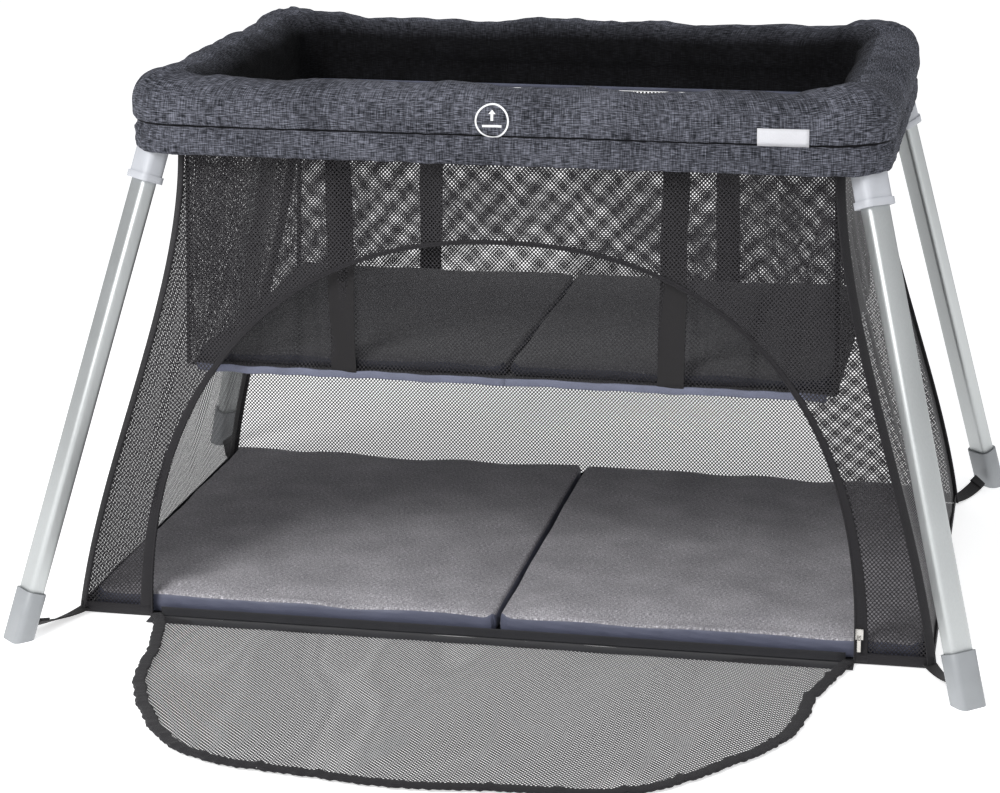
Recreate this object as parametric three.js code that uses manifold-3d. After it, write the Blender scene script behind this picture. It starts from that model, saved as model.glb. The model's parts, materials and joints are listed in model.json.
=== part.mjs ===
// Folding playpen with a hanging bassinet: four splayed legs, a padded top rail that breaks upwards at the
// middle of its long sides, mesh walls with a zipped arched door, a removable bassinet and two folding mattresses.
// Millimetres, +Z up, +X to the right, the door faces -Y. The origin is on the ground, under the middle.
import * as THREE from "three";
import { mergeVertices } from "three/addons/utils/BufferGeometryUtils.js";
import Module from "manifold-3d";

const wasm = await Module();
wasm.setup();

// ---------- driving dimensions ----------
const FOOT = { x: 600, y: 451 }; // where a leg's middle line meets the ground
const RAIL = { x: 440, y: 297, z: 655 }; // middle lines of the end rails (x) and long rails (y), and their height
const LEG = { width: 34, depth: 23, radius: 7, wall: 1.6 };
const SOLE = 14; // plastic under a leg's lower end, along the leg
const FOOT_CAP = { wall: 3, height: 50, radius: 9 };
const COLLAR = { wall: 4, below: 39, lip: 1.8, lipHeight: 9, radius: 9 }; // below: how far it shows under the cover
const TUBE = { width: 18, height: 26, wall: 1.8 };
const LOCK_PIVOT_X = 30;
const PIVOT_INSET = 28; // from an end rail's middle line to the long rails' corner pivots
const EAR = 5; // thickness of a clevis ear
const PIN = { radius: 4, headRadius: 6.5, head: 2.5 };
const BRIDGE = 4; // plate over the lock that stops the rails from sagging past straight
const BUTTON = { stemRadius: 6, headRadius: 11, head: 4, travel: 5, stem: 22 };
const BLOCK = { outside: 12, behind: 35, overTube: 6, radius: 8 }; // the corner moulding's block, from the rails' lines
const SPIGOT = 26; // length of the peg that fills an end rail's mouth

// The padded cover, from the rails' middle lines.
const PAD = { outsideX: 38, outsideY: 35, insideX: 40, insideY: 35, below: 45, above: 51 };
const PAD_CORNER = { outer: 65, inner: 32, rounding: 22 };

const CLOTH = 1.2; // thickness of a mesh wall
const TENT_FLOOR = 2;
const WALL_STEPS = 7;
const TENT = { topInset: { x: 22, y: 17 }, footInset: { x: 47, y: 109 } }; // from the rails' and feet's lines
const DOOR = { side: 98, above: 105, sill: 14, power: 2.25 }; // wall left beside and above the opening
const FLAP = { slack: 18, side: 2.5, thickness: 2, lift: 0.5, hingeGap: 4 };
const ZIP = { width: 10, height: 14, depth: 5, z: 34 }; // the slider, z is its underside
const ZIP_EYE = { width: 2, reach: 3.6, low: 1.5, high: 4.5 }; // heights above the slider's underside
const ZIP_PULL = { width: 5, depth: 1.6, below: 18, above: 2, web: 2.5, out: 2.6 }; // from the eye's middle
const FOOT_STRAP = { width: 20, thickness: 1.6, fromCap: 6, fromTent: 8 };

const BASSINET = { inset: { x: 27, y: 29 }, flare: { x: 6, y: 2 }, depth: 282, floor: 4 };
const STRAP = { x: 215, width: 34, thickness: 1.5, belowTop: 8 };
const LOWER_MATTRESS = { thickness: 31.6, side: { x: 13, y: 10 }, radius: 14 }; // side: clear of the tent's foot
const UPPER_MATTRESS = { thickness: 19.6, side: { x: 6, y: 12 }, radius: 14 }; // side: clear of the bassinet's foot
const MATTRESS_ROUNDING = 4;
const CREASE = 1.2; // gap between a mattress's two halves

// ---------- clearances ----------
const GAP = 0.4; // between pieces that touch
const RUN = 0.5; // beside a piece that turns
const DRILL = 0.3; // a pin's or button's hole, on the radius
const UNDER_COVER = 2; // from the cover's hem down to the walls' top edges

const CURVE_STEPS = 3;
const ROUND_STEPS = 12;
const ARCH_STEPS = 28;

// ---------- places worked out from the dimensions ----------
const legTop = new THREE.Vector3(RAIL.x + 7, RAIL.y - 13, RAIL.z - 30); // inside the corner moulding
const eyeRadius = TUBE.height / 2;
const earFace = TUBE.width / 2 + RUN; // from a long rail's middle line to an ear
const earOuter = earFace + EAR;
const cornerPivotX = RAIL.x - PIVOT_INSET;
const blockHalfHeight = eyeRadius + BLOCK.overTube;
const block = {
  inner: cornerPivotX + eyeRadius + 2 * RUN,
  outer: RAIL.x + BLOCK.outside,
  yInner: RAIL.y - BLOCK.behind,
  yOuter: RAIL.y + earOuter,
  bottom: RAIL.z - blockHalfHeight,
};
const pad = {
  x: RAIL.x + PAD.outsideX,
  y: RAIL.y + PAD.outsideY,
  innerX: RAIL.x - PAD.insideX,
  innerY: RAIL.y - PAD.insideY,
  bottom: RAIL.z - PAD.below,
  top: RAIL.z + PAD.above,
};
const padSplit = pad.innerX - PAD_CORNER.inner - 2; // the cover's end pieces start here, before its inner corners
const wallTop = pad.bottom - UNDER_COVER;
const tentTop = { x: RAIL.x - TENT.topInset.x, y: RAIL.y - TENT.topInset.y };
const tentFoot = { x: FOOT.x - TENT.footInset.x, y: FOOT.y - TENT.footInset.y };
const bassinetTop = { x: RAIL.x - BASSINET.inset.x, y: RAIL.y - BASSINET.inset.y };
const bassinetFoot = { x: bassinetTop.x + BASSINET.flare.x, y: bassinetTop.y + BASSINET.flare.y };
const bassinetFloorTop = wallTop - BASSINET.depth;
const bassinetFloorBottom = bassinetFloorTop - BASSINET.floor;
const doorHalfWidth = tentFoot.x - DOOR.side;
const doorHeight = wallTop - DOOR.above - DOOR.sill;

// ---------- materials ----------
const finish = (color, roughness, metalness = 0) =>
  new THREE.MeshStandardMaterial({ color, roughness, metalness });
const material = {
  aluminium: finish(0xb4b5b6, 0.38, 0.9),
  steel: finish(0x8d9094, 0.35, 1),
  whitePlastic: finish(0xdedfe6, 0.45),
  greyPlastic: finish(0xc9cacf, 0.5),
  cover: finish(0x3c414b, 0.95),
  mesh: finish(0x17171a, 0.9),
  webbing: finish(0x0d0d0f, 0.85),
  floorCloth: finish(0x1b1b1f, 0.9),
  mattress: finish(0x77767a, 0.95),
  darkMattress: finish(0x25272f, 0.95),
};

// ---------- shapes and solids ----------
function roundedRect(width, height, radius) {
  const [x, y] = [width / 2, height / 2];
  const shape = new THREE.Shape();
  shape.moveTo(-x + radius, -y);
  shape.absarc(x - radius, -y + radius, radius, -Math.PI / 2, 0);
  shape.absarc(x - radius, y - radius, radius, 0, Math.PI / 2);
  shape.absarc(-x + radius, y - radius, radius, Math.PI / 2, Math.PI);
  shape.absarc(-x + radius, -y + radius, radius, Math.PI, 1.5 * Math.PI);
  return shape;
}

function extruded(shape, depth, options = {}) {
  return new THREE.ExtrudeGeometry(shape, {
    depth,
    bevelEnabled: false,
    curveSegments: CURVE_STEPS,
    ...options,
  });
}

function boxBetween([x0, y0, z0], [x1, y1, z1]) {
  const box = new THREE.BoxGeometry(x1 - x0, y1 - y0, z1 - z0);
  return box.translate((x0 + x1) / 2, (y0 + y1) / 2, (z0 + z1) / 2);
}

// A cylinder along Y, from y0 to y1.
function rodAlongY(radius, x, z, y0, y1) {
  const rod = new THREE.CylinderGeometry(radius, radius, y1 - y0, ROUND_STEPS);
  return rod.translate(x, (y0 + y1) / 2, z);
}

function toSolid(geometry) {
  const plain = new THREE.BufferGeometry();
  plain.setAttribute("position", geometry.getAttribute("position").clone());
  if (geometry.index) plain.setIndex(geometry.index);
  const merged = mergeVertices(plain, 1e-4);
  const vertProperties = new Float32Array(merged.attributes.position.array);
  const triVerts = new Uint32Array(merged.index.array);
  return new wasm.Manifold(new wasm.Mesh({ numProp: 3, vertProperties, triVerts }));
}

function toGeometry(solid) {
  const mesh = solid.getMesh();
  const geometry = new THREE.BufferGeometry();
  geometry.setAttribute("position", new THREE.BufferAttribute(mesh.vertProperties, 3));
  geometry.setIndex(new THREE.BufferAttribute(mesh.triVerts, 1));
  return geometry;
}

const joined = (first, ...rest) =>
  toGeometry(rest.reduce((sum, next) => sum.add(toSolid(next)), toSolid(first)));
const cut = (first, ...tools) =>
  toGeometry(tools.reduce((left, tool) => left.subtract(toSolid(tool)), toSolid(first)));
const common = (first, second) => toGeometry(toSolid(first).intersect(toSolid(second)));

// Mirrors a piece made for the right-hand back corner (+X, +Y) into another corner.
function toCorner(geometry, sx, sy) {
  const copy = (geometry.index ? geometry.toNonIndexed() : geometry.clone()).scale(sx, sy, 1);
  if (sx * sy > 0) return copy;
  const position = copy.getAttribute("position");
  const [a, b] = [new THREE.Vector3(), new THREE.Vector3()];
  for (let i = 0; i < position.count; i += 3) {
    a.fromBufferAttribute(position, i + 1);
    b.fromBufferAttribute(position, i + 2);
    position.setXYZ(i + 1, b.x, b.y, b.z);
    position.setXYZ(i + 2, a.x, a.y, a.z);
  }
  return copy;
}

// A closed solid through a stack of rectangles {x0, x1, y0, y1, z}, lowest first.
function stacked(levels) {
  const points = levels.flatMap(({ x0, x1, y0, y1, z }) => [x0, y0, z, x1, y0, z, x1, y1, z, x0, y1, z]);
  const faces = [];
  const quad = (a, b, c, d) => faces.push(a, b, c, a, c, d);
  for (let level = 0; level < levels.length - 1; level++)
    for (let side = 0; side < 4; side++) {
      const low = level * 4;
      const next = (side + 1) % 4;
      quad(low + side, low + next, low + 4 + next, low + 4 + side);
    }
  const last = (levels.length - 1) * 4;
  quad(3, 2, 1, 0);
  quad(last, last + 1, last + 2, last + 3);
  const geometry = new THREE.BufferGeometry();
  geometry.setAttribute("position", new THREE.Float32BufferAttribute(points, 3));
  geometry.setIndex(faces);
  return geometry;
}

const root = new THREE.Group();
function add(name, geometry, look) {
  const mesh = new THREE.Mesh(geometry, look);
  mesh.name = name;
  root.add(mesh);
}

const CORNERS = [
  { name: "front_left", sx: -1, sy: -1 },
  { name: "front_right", sx: 1, sy: -1 },
  { name: "back_left", sx: -1, sy: 1 },
  { name: "back_right", sx: 1, sy: 1 },
];
const LONG_SIDES = [
  { name: "front", sy: -1 },
  { name: "back", sy: 1 },
];
const ENDS = [
  { name: "left", sx: -1 },
  { name: "right", sx: 1 },
];

// ---------- legs, foot caps and corner mouldings, made for the (+X, +Y) corner ----------
const legFoot = new THREE.Vector3(FOOT.x, FOOT.y, 0);
const legVector = legTop.clone().sub(legFoot);
const legLength = legVector.length();
const legUp = legVector.clone().normalize();
const legOut = new THREE.Vector3(-legUp.x, -legUp.y, 0).normalize();
legOut.addScaledVector(legUp, -legOut.dot(legUp)).normalize();
const legAcross = new THREE.Vector3().crossVectors(legOut, legUp);

// Puts a shape's extrusion on the leg's middle line, from start to end, measured along it from the ground.
function onLeg(width, depth, radius, start, end) {
  const geometry = extruded(roundedRect(width, depth, radius), end - start);
  const frame = new THREE.Matrix4().makeBasis(legAcross, legOut, legUp);
  frame.setPosition(legFoot.clone().addScaledVector(legUp, start));
  return geometry.applyMatrix4(frame);
}

// The leg's section grown by a margin all round, such as the hole that it fits in.
const aroundLeg = (margin, start, end) =>
  onLeg(LEG.width + 2 * margin, LEG.depth + 2 * margin, LEG.radius + Math.max(margin, -LEG.radius / 2), start, end);
const alongLeg = (height) => height / legUp.z;

function leg() {
  const bore = aroundLeg(-LEG.wall, SOLE - 1, legLength + 1);
  return cut(aroundLeg(0, SOLE, legLength), bore);
}

function footCap() {
  const top = SOLE + FOOT_CAP.height;
  const size = [LEG.width + 2 * FOOT_CAP.wall, LEG.depth + 2 * FOOT_CAP.wall];
  const boot = onLeg(...size, FOOT_CAP.radius, -SOLE * 2, top);
  const ground = boxBetween([0, 0, 0], [FOOT.x * 2, FOOT.y * 2, FOOT_CAP.height * 3]);
  return cut(common(boot, ground), aroundLeg(GAP, SOLE - GAP, top + 1));
}

// A plate with two round ends, or one round end and one square, in the XZ plane.
function railPlate(x0, x1, y0, y1, roundStart, roundEnd) {
  const [low, high] = [RAIL.z - eyeRadius, RAIL.z + eyeRadius];
  const plate = boxBetween([x0, y0, low], [x1, y1, high]);
  const eyes = [];
  if (roundStart) eyes.push(rodAlongY(eyeRadius, x0, RAIL.z, y0, y1));
  if (roundEnd) eyes.push(rodAlongY(eyeRadius, x1, RAIL.z, y0, y1));
  return joined(plate, ...eyes);
}

function cornerMoulding() {
  const { inner, outer, yInner, yOuter, bottom } = block;
  const core = extruded(roundedRect(outer - inner, yOuter - yInner, BLOCK.radius), 2 * blockHalfHeight);
  core.translate((inner + outer) / 2, (yInner + yOuter) / 2, bottom);
  const width = LEG.width + 2 * COLLAR.wall;
  const depth = LEG.depth + 2 * COLLAR.wall;
  const start = alongLeg(pad.bottom - COLLAR.below);
  const collar = onLeg(width, depth, COLLAR.radius, start, alongLeg(bottom + EAR));
  const lip = onLeg(width + 2 * COLLAR.lip, depth + 2 * COLLAR.lip, COLLAR.radius, start, start + COLLAR.lipHeight);
  const ear = (from, to) => railPlate(cornerPivotX, inner + BLOCK.radius, RAIL.y + from, RAIL.y + to, true, false);
  const inside = GAP + TUBE.wall;
  const peg = boxBetween(
    [RAIL.x - TUBE.width / 2 + inside, yInner - SPIGOT, RAIL.z - TUBE.height / 2 + inside],
    [RAIL.x + TUBE.width / 2 - inside, yInner + BLOCK.radius, RAIL.z + TUBE.height / 2 - inside],
  );
  const body = joined(core, collar, lip, ear(-earOuter, -earFace), ear(earFace, earOuter), peg);
  const pinHole = rodAlongY(PIN.radius + DRILL, cornerPivotX, RAIL.z, yInner, yOuter + 1);
  const railRoom = boxBetween(
    [cornerPivotX, RAIL.y - earFace, 0],
    [cornerPivotX + eyeRadius + RUN, RAIL.y + earFace, RAIL.z * 2],
  );
  return cut(body, aroundLeg(GAP, start - 1, legLength + GAP), pinHole, railRoom);
}

// ---------- rails, pins and locks, made for the +Y side ----------
// One half of a long rail: a pressed channel, open below, with a drilled eye at each end.
function halfRail() {
  const half = TUBE.width / 2;
  const bar = railPlate(LOCK_PIVOT_X, cornerPivotX, RAIL.y - half, RAIL.y + half, true, true);
  const solidEnd = eyeRadius * 1.7;
  const hollow = boxBetween(
    [LOCK_PIVOT_X + solidEnd, RAIL.y - half + TUBE.wall, RAIL.z - TUBE.height],
    [cornerPivotX - solidEnd, RAIL.y + half - TUBE.wall, RAIL.z + TUBE.height / 2 - TUBE.wall],
  );
  const holes = [LOCK_PIVOT_X, cornerPivotX].map((x) =>
    rodAlongY(PIN.radius + DRILL, x, RAIL.z, RAIL.y - TUBE.width, RAIL.y + TUBE.width),
  );
  return cut(bar, hollow, ...holes);
}

function endRail() {
  const halfLength = block.yInner - GAP;
  const section = (margin, end) =>
    boxBetween(
      [RAIL.x - TUBE.width / 2 - margin, -end, RAIL.z - TUBE.height / 2 - margin],
      [RAIL.x + TUBE.width / 2 + margin, end, RAIL.z + TUBE.height / 2 + margin],
    );
  return cut(section(0, halfLength), section(-TUBE.wall, halfLength + 1));
}

// A rivet through both ears and the rail's eye, along Y, with its middle on the long rail's middle line.
function rivet(x) {
  const reach = earOuter + GAP;
  const { radius, headRadius, head } = PIN;
  const outline = [
    [0, -reach - head],
    [headRadius, -reach - head],
    [headRadius, -reach],
    [radius, -reach],
    [radius, reach],
    [headRadius, reach],
    [headRadius, reach + head],
    [0, reach + head],
  ].map(([r, y]) => new THREE.Vector2(r, y));
  return new THREE.LatheGeometry(outline, ROUND_STEPS).translate(x, RAIL.y, RAIL.z);
}

// The lock: two ears and a bridge over both rail ends, with a block between them that the button slides in.
function lockHousing() {
  const end = LOCK_PIVOT_X + eyeRadius;
  const bridgeBottom = eyeRadius + RUN;
  const ear = (from, to) => railPlate(-LOCK_PIVOT_X, LOCK_PIVOT_X, RAIL.y + from, RAIL.y + to, true, true);
  const cheek = (from, to) =>
    boxBetween([-end, RAIL.y + from, RAIL.z], [end, RAIL.y + to, RAIL.z + bridgeBottom + BRIDGE]);
  const bridge = boxBetween(
    [-end, RAIL.y - earOuter, RAIL.z + bridgeBottom],
    [end, RAIL.y + earOuter, RAIL.z + bridgeBottom + BRIDGE],
  );
  const blockHalf = LOCK_PIVOT_X - eyeRadius - 3;
  const middle = boxBetween(
    [-blockHalf, RAIL.y - earOuter + 1, RAIL.z - eyeRadius],
    [blockHalf, RAIL.y + earOuter - 1, RAIL.z + bridgeBottom + 1],
  );
  const body = joined(
    bridge,
    middle,
    ear(-earOuter, -earFace),
    ear(earFace, earOuter),
    cheek(-earOuter, -earFace),
    cheek(earFace, earOuter),
  );
  const holes = [-LOCK_PIVOT_X, LOCK_PIVOT_X].map((x) =>
    rodAlongY(PIN.radius + DRILL, x, RAIL.z, RAIL.y - 2 * earOuter, RAIL.y + 2 * earOuter),
  );
  const boreBottom = buttonStemEnd - BUTTON.travel - RUN;
  const bore = rodAlongY(BUTTON.stemRadius + DRILL, 0, RAIL.z, boreBottom, RAIL.y + 2 * earOuter);
  return cut(body, ...holes, bore);
}

const buttonHeadFace = RAIL.y + earOuter + RUN + BUTTON.travel; // the underside of the button's head, at rest
const buttonStemEnd = buttonHeadFace - BUTTON.stem;

function lockButton() {
  const outline = [
    [0, 0],
    [BUTTON.stemRadius, 0],
    [BUTTON.stemRadius, BUTTON.stem],
    [BUTTON.headRadius, BUTTON.stem],
    [BUTTON.headRadius, BUTTON.stem + BUTTON.head],
    [0, BUTTON.stem + BUTTON.head],
  ].map(([r, y]) => new THREE.Vector2(r, y));
  return new THREE.LatheGeometry(outline, ROUND_STEPS).translate(0, buttonStemEnd, RAIL.z);
}

// ---------- padded cover of the top rail ----------
function ring(outerX, outerY, outerRadius, innerX, innerY, innerRadius, low, high, rounding) {
  const shape = roundedRect(2 * outerX, 2 * outerY, outerRadius);
  shape.holes.push(roundedRect(2 * innerX, 2 * innerY, innerRadius));
  const bevel = {
    bevelEnabled: rounding > 0,
    bevelThickness: rounding,
    bevelSize: rounding,
    bevelOffset: -rounding,
    bevelSegments: 3,
  };
  return extruded(shape, high - low - 2 * rounding, bevel).translate(0, 0, low + rounding);
}

function coverRing() {
  const { outer, inner, rounding } = PAD_CORNER;
  const low = pad.bottom - rounding;
  const padding = ring(pad.x, pad.y, outer, pad.innerX, pad.innerY, inner, low, pad.top, rounding);
  const pastButton = buttonHeadFace + BUTTON.head + RUN;
  const pastRivets = RAIL.y - earOuter - PIN.head - 2;
  const half = blockHalfHeight + 1;
  const hollow = ring(
    block.outer + 4,
    pastButton,
    BLOCK.radius * 2,
    block.inner - 2,
    pastRivets,
    GAP,
    RAIL.z - half,
    RAIL.z + half,
    0,
  );
  return cut(padding, hollow);
}

const cover = coverRing();
const padHeights = [pad.bottom, pad.top + 1];

function longCover(x0, x1, sy) {
  const ys = [0, sy * (pad.y + 1)].sort((a, b) => a - b);
  return common(cover, boxBetween([x0, ys[0], padHeights[0]], [x1, ys[1], padHeights[1]]));
}

function endCover(sx) {
  const xs = [sx * padSplit, sx * (pad.x + 1)].sort((a, b) => a - b);
  const piece = common(cover, boxBetween([xs[0], -pad.y - 1, padHeights[0]], [xs[1], pad.y + 1, padHeights[1]]));
  const low = alongLeg(pad.bottom - PAD_CORNER.rounding);
  const socket = aroundLeg(COLLAR.wall + 1, low, alongLeg(block.bottom + EAR + 1));
  const sockets = [-1, 1].map((sy) => toCorner(socket, sx, sy));
  return cut(piece, ...sockets);
}

// ---------- tent: mesh walls that flare out towards the floor ----------
const smooth = (s) => s * s * (3 - 2 * s);
const flare = (s) => 0.6 * smooth(s) + 0.4 * s ** 1.5;

// Half the tent's size along X and Y at a height.
function tentAt(z) {
  const share = flare(Math.min(1, Math.max(0, (wallTop - z) / wallTop)));
  return {
    x: tentTop.x + (tentFoot.x - tentTop.x) * share,
    y: tentTop.y + (tentFoot.y - tentTop.y) * share,
  };
}

function bassinetAt(z) {
  const share = (wallTop - z) / BASSINET.depth;
  return {
    x: bassinetTop.x + BASSINET.flare.x * share,
    y: bassinetTop.y + BASSINET.flare.y * share,
  };
}

function wallHeights(low, high) {
  return Array.from({ length: WALL_STEPS }, (_, i) => low + ((high - low) * i) / (WALL_STEPS - 1));
}

// A wall on the +Y side, which stops inside the end walls.
function longWall(sizeAt, heights) {
  const levels = heights.map((z) => {
    const { x, y } = sizeAt(z);
    const half = x - CLOTH - GAP;
    return { x0: -half, x1: half, y0: y - CLOTH, y1: y, z };
  });
  return stacked(levels);
}

// A wall on the +X side, as wide as the tent.
function endWall(sizeAt, heights) {
  return stacked(heights.map((z) => {
    const { x, y } = sizeAt(z);
    return { x0: x - CLOTH, x1: x, y0: -y, y1: y, z };
  }));
}

// A superellipse arch, closed along its base, from (-halfWidth, base) round to (halfWidth, base).
function archShape(halfWidth, height, base, foot) {
  const shape = new THREE.Shape();
  shape.moveTo(-halfWidth, foot);
  for (let i = 0; i <= ARCH_STEPS; i++) {
    const angle = Math.PI - (Math.PI * i) / ARCH_STEPS;
    const c = Math.cos(angle);
    const x = Math.sign(c) * halfWidth * Math.abs(c) ** (2 / DOOR.power);
    const z = base + height * Math.abs(Math.sin(angle)) ** (2 / DOOR.power);
    if (i > 0 || base > foot) shape.lineTo(x, z);
  }
  if (base > foot) shape.lineTo(halfWidth, foot);
  return shape;
}

function tentFrontWall() {
  const wall = toCorner(longWall(tentAt, wallHeights(TENT_FLOOR + GAP, wallTop)), 1, -1);
  const arch = extruded(archShape(doorHalfWidth, doorHeight, DOOR.sill, DOOR.sill), tentFoot.y);
  arch.rotateX(Math.PI / 2);
  return cut(wall, arch.translate(0, -tentTop.y / 2, 0));
}

// The door's flap, laid flat on the ground in front of its hinge.
function doorFlap() {
  const straight = DOOR.sill - FLAP.lift;
  const shape = archShape(doorHalfWidth - FLAP.side, doorHeight - FLAP.slack, straight, 0);
  const flap = extruded(shape, FLAP.thickness);
  flap.rotateX(Math.PI);
  return flap.translate(0, -tentFoot.y - FLAP.hingeGap, FLAP.lift + FLAP.thickness);
}

// ---------- door zip: the slider and its pull, at the foot of the arch's right side ----------
const zipX = doorHalfWidth + ZIP.width / 2 + 1.5;
const zipFace = -tentAt(ZIP.z).y - 1;

function zipSlider() {
  const body = boxBetween(
    [zipX - ZIP.width / 2, zipFace - ZIP.depth, ZIP.z],
    [zipX + ZIP.width / 2, zipFace, ZIP.z + ZIP.height],
  );
  const eye = boxBetween(
    [zipX - ZIP_EYE.width / 2, zipFace - ZIP.depth - ZIP_EYE.reach, ZIP.z + ZIP_EYE.low],
    [zipX + ZIP_EYE.width / 2, zipFace - ZIP.depth + 1, ZIP.z + ZIP_EYE.high],
  );
  return joined(body, eye);
}

// The pull hangs from the slider's eye, and turns about X at the eye's middle.
function zipPull() {
  const y = zipFace - ZIP.depth - ZIP_PULL.out;
  const z = ZIP.z + (ZIP_EYE.low + ZIP_EYE.high) / 2;
  const half = ZIP_PULL.width / 2;
  const tab = boxBetween(
    [zipX - half, y - ZIP_PULL.depth / 2, z - ZIP_PULL.below],
    [zipX + half, y + ZIP_PULL.depth / 2, z + ZIP_PULL.above],
  );
  const slotHalf = ZIP_EYE.width / 2 + GAP;
  const slot = boxBetween(
    [zipX - slotHalf, y - ZIP_PULL.depth, z - ZIP_PULL.web],
    [zipX + slotHalf, y + ZIP_PULL.depth, z + ZIP_PULL.above + 1],
  );
  return cut(tab, slot);
}

// ---------- webbing ----------
// The strap that holds a corner of the tent to the foot, made for the (+X, +Y) corner.
function footStrap() {
  const start = new THREE.Vector2(tentFoot.x + 2, tentFoot.y + FOOT_STRAP.fromTent);
  const along = new THREE.Vector2(FOOT.x, FOOT.y).sub(start);
  const length = along.length() - LEG.width / 2 - FOOT_CAP.wall - FOOT_STRAP.fromCap;
  const strap = new THREE.BoxGeometry(length, FOOT_STRAP.width, FOOT_STRAP.thickness);
  strap.translate(length / 2, 0, FOOT_STRAP.thickness / 2 + GAP);
  strap.rotateZ(along.angle());
  return strap.translate(start.x, start.y, 0);
}

// A bassinet strap: down one long wall, under the floor and up the other.
function bassinetStrap(x) {
  const below = bassinetFloorBottom - GAP;
  const top = wallTop - STRAP.belowTop;
  const side = (margin) => [bassinetAt(top).y + margin, bassinetFoot.y + margin];
  const [inTop, inBottom] = side(GAP);
  const [outTop, outBottom] = side(GAP + STRAP.thickness);
  const shape = new THREE.Shape();
  shape.moveTo(-outTop, top);
  shape.lineTo(-outBottom, below - STRAP.thickness);
  shape.lineTo(outBottom, below - STRAP.thickness);
  shape.lineTo(outTop, top);
  shape.lineTo(inTop, top);
  shape.lineTo(inBottom, below);
  shape.lineTo(-inBottom, below);
  shape.lineTo(-inTop, top);
  const strap = extruded(shape, STRAP.width);
  strap.rotateX(Math.PI / 2).rotateZ(Math.PI / 2);
  return strap.translate(x - STRAP.width / 2, 0, 0);
}

// ---------- mattresses ----------
// Half of a mattress that lies on a floor as large as around, with its underside at a height.
function mattressHalf(size, around, bottom, sx) {
  const half = { x: around.x - size.side.x, y: around.y - size.side.y };
  const length = half.x - CREASE / 2;
  const bevel = {
    bevelEnabled: true,
    bevelThickness: MATTRESS_ROUNDING,
    bevelSize: MATTRESS_ROUNDING,
    bevelOffset: -MATTRESS_ROUNDING,
    bevelSegments: 2,
  };
  const outline = roundedRect(length, 2 * half.y, size.radius);
  const cushion = extruded(outline, size.thickness - 2 * MATTRESS_ROUNDING, bevel);
  return cushion.translate(sx * (half.x - length / 2), 0, bottom + MATTRESS_ROUNDING);
}

// ---------- assembly ----------
for (const { name, sx, sy } of CORNERS) {
  add(`leg_${name}`, toCorner(leg(), sx, sy), material.aluminium);
  add(`foot_cap_${name}`, toCorner(footCap(), sx, sy), material.greyPlastic);
  add(`corner_moulding_${name}`, toCorner(cornerMoulding(), sx, sy), material.whitePlastic);
  add(`long_rail_${name}`, toCorner(halfRail(), sx, sy), material.aluminium);
  add(`corner_pivot_pin_${name}`, toCorner(rivet(cornerPivotX), sx, sy), material.steel);
  add(`lock_pin_${name}`, toCorner(rivet(LOCK_PIVOT_X), sx, sy), material.steel);
  add(`foot_strap_${name}`, toCorner(footStrap(), sx, sy), material.webbing);
  const [near, far] = [GAP, padSplit - GAP].map((x) => sx * x).sort((a, b) => a - b);
  add(`rail_cover_${name}`, longCover(near, far, sy), material.cover);
}

const tentHeights = wallHeights(TENT_FLOOR + GAP, wallTop);
const bassinetHeights = [bassinetFloorTop + GAP, wallTop];
const onTentFloor = [tentFoot, TENT_FLOOR + GAP];
const onBassinetFloor = [bassinetFoot, bassinetFloorTop + GAP];

for (const { name, sy } of LONG_SIDES) {
  add(`lock_housing_${name}`, toCorner(lockHousing(), 1, sy), material.greyPlastic);
  add(`lock_button_${name}`, toCorner(lockButton(), 1, sy), material.greyPlastic);
  add(`bassinet_wall_${name}`, toCorner(longWall(bassinetAt, bassinetHeights), 1, sy), material.mesh);
}
add("tent_wall_front", tentFrontWall(), material.mesh);
add("tent_wall_back", longWall(tentAt, tentHeights), material.mesh);

for (const { name, sx } of ENDS) {
  add(`end_rail_${name}`, toCorner(endRail(), sx, 1), material.aluminium);
  add(`rail_cover_end_${name}`, endCover(sx), material.cover);
  add(`tent_wall_${name}`, toCorner(endWall(tentAt, tentHeights), sx, 1), material.mesh);
  add(`bassinet_wall_${name}`, toCorner(endWall(bassinetAt, bassinetHeights), sx, 1), material.mesh);
  add(`bassinet_strap_${name}`, bassinetStrap(sx * STRAP.x), material.webbing);
  add(`lower_mattress_${name}`, mattressHalf(LOWER_MATTRESS, ...onTentFloor, sx), material.mattress);
  add(`upper_mattress_${name}`, mattressHalf(UPPER_MATTRESS, ...onBassinetFloor, sx), material.darkMattress);
}

add(
  "tent_floor",
  boxBetween([-tentFoot.x, -tentFoot.y, 0], [tentFoot.x, tentFoot.y, TENT_FLOOR]),
  material.floorCloth,
);
add(
  "bassinet_floor",
  boxBetween(
    [-bassinetFoot.x, -bassinetFoot.y, bassinetFloorBottom],
    [bassinetFoot.x, bassinetFoot.y, bassinetFloorTop],
  ),
  material.floorCloth,
);
add("door_flap", doorFlap(), material.mesh);
add("zip_slider", zipSlider(), material.steel);
add("zip_pull", zipPull(), material.steel);

export default root;
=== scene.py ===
"""Folding playpen with a hanging bassinet: the fabric, padding and materials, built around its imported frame.

Metres, +Z up, the door faces -Y. Places come from the frame's boxes, and sizes only the fabric has are below.
"""

import json
import math

import bpy
import numpy as np
from mathutils import Matrix, Vector
from mathutils.bvhtree import BVHTree


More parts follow.
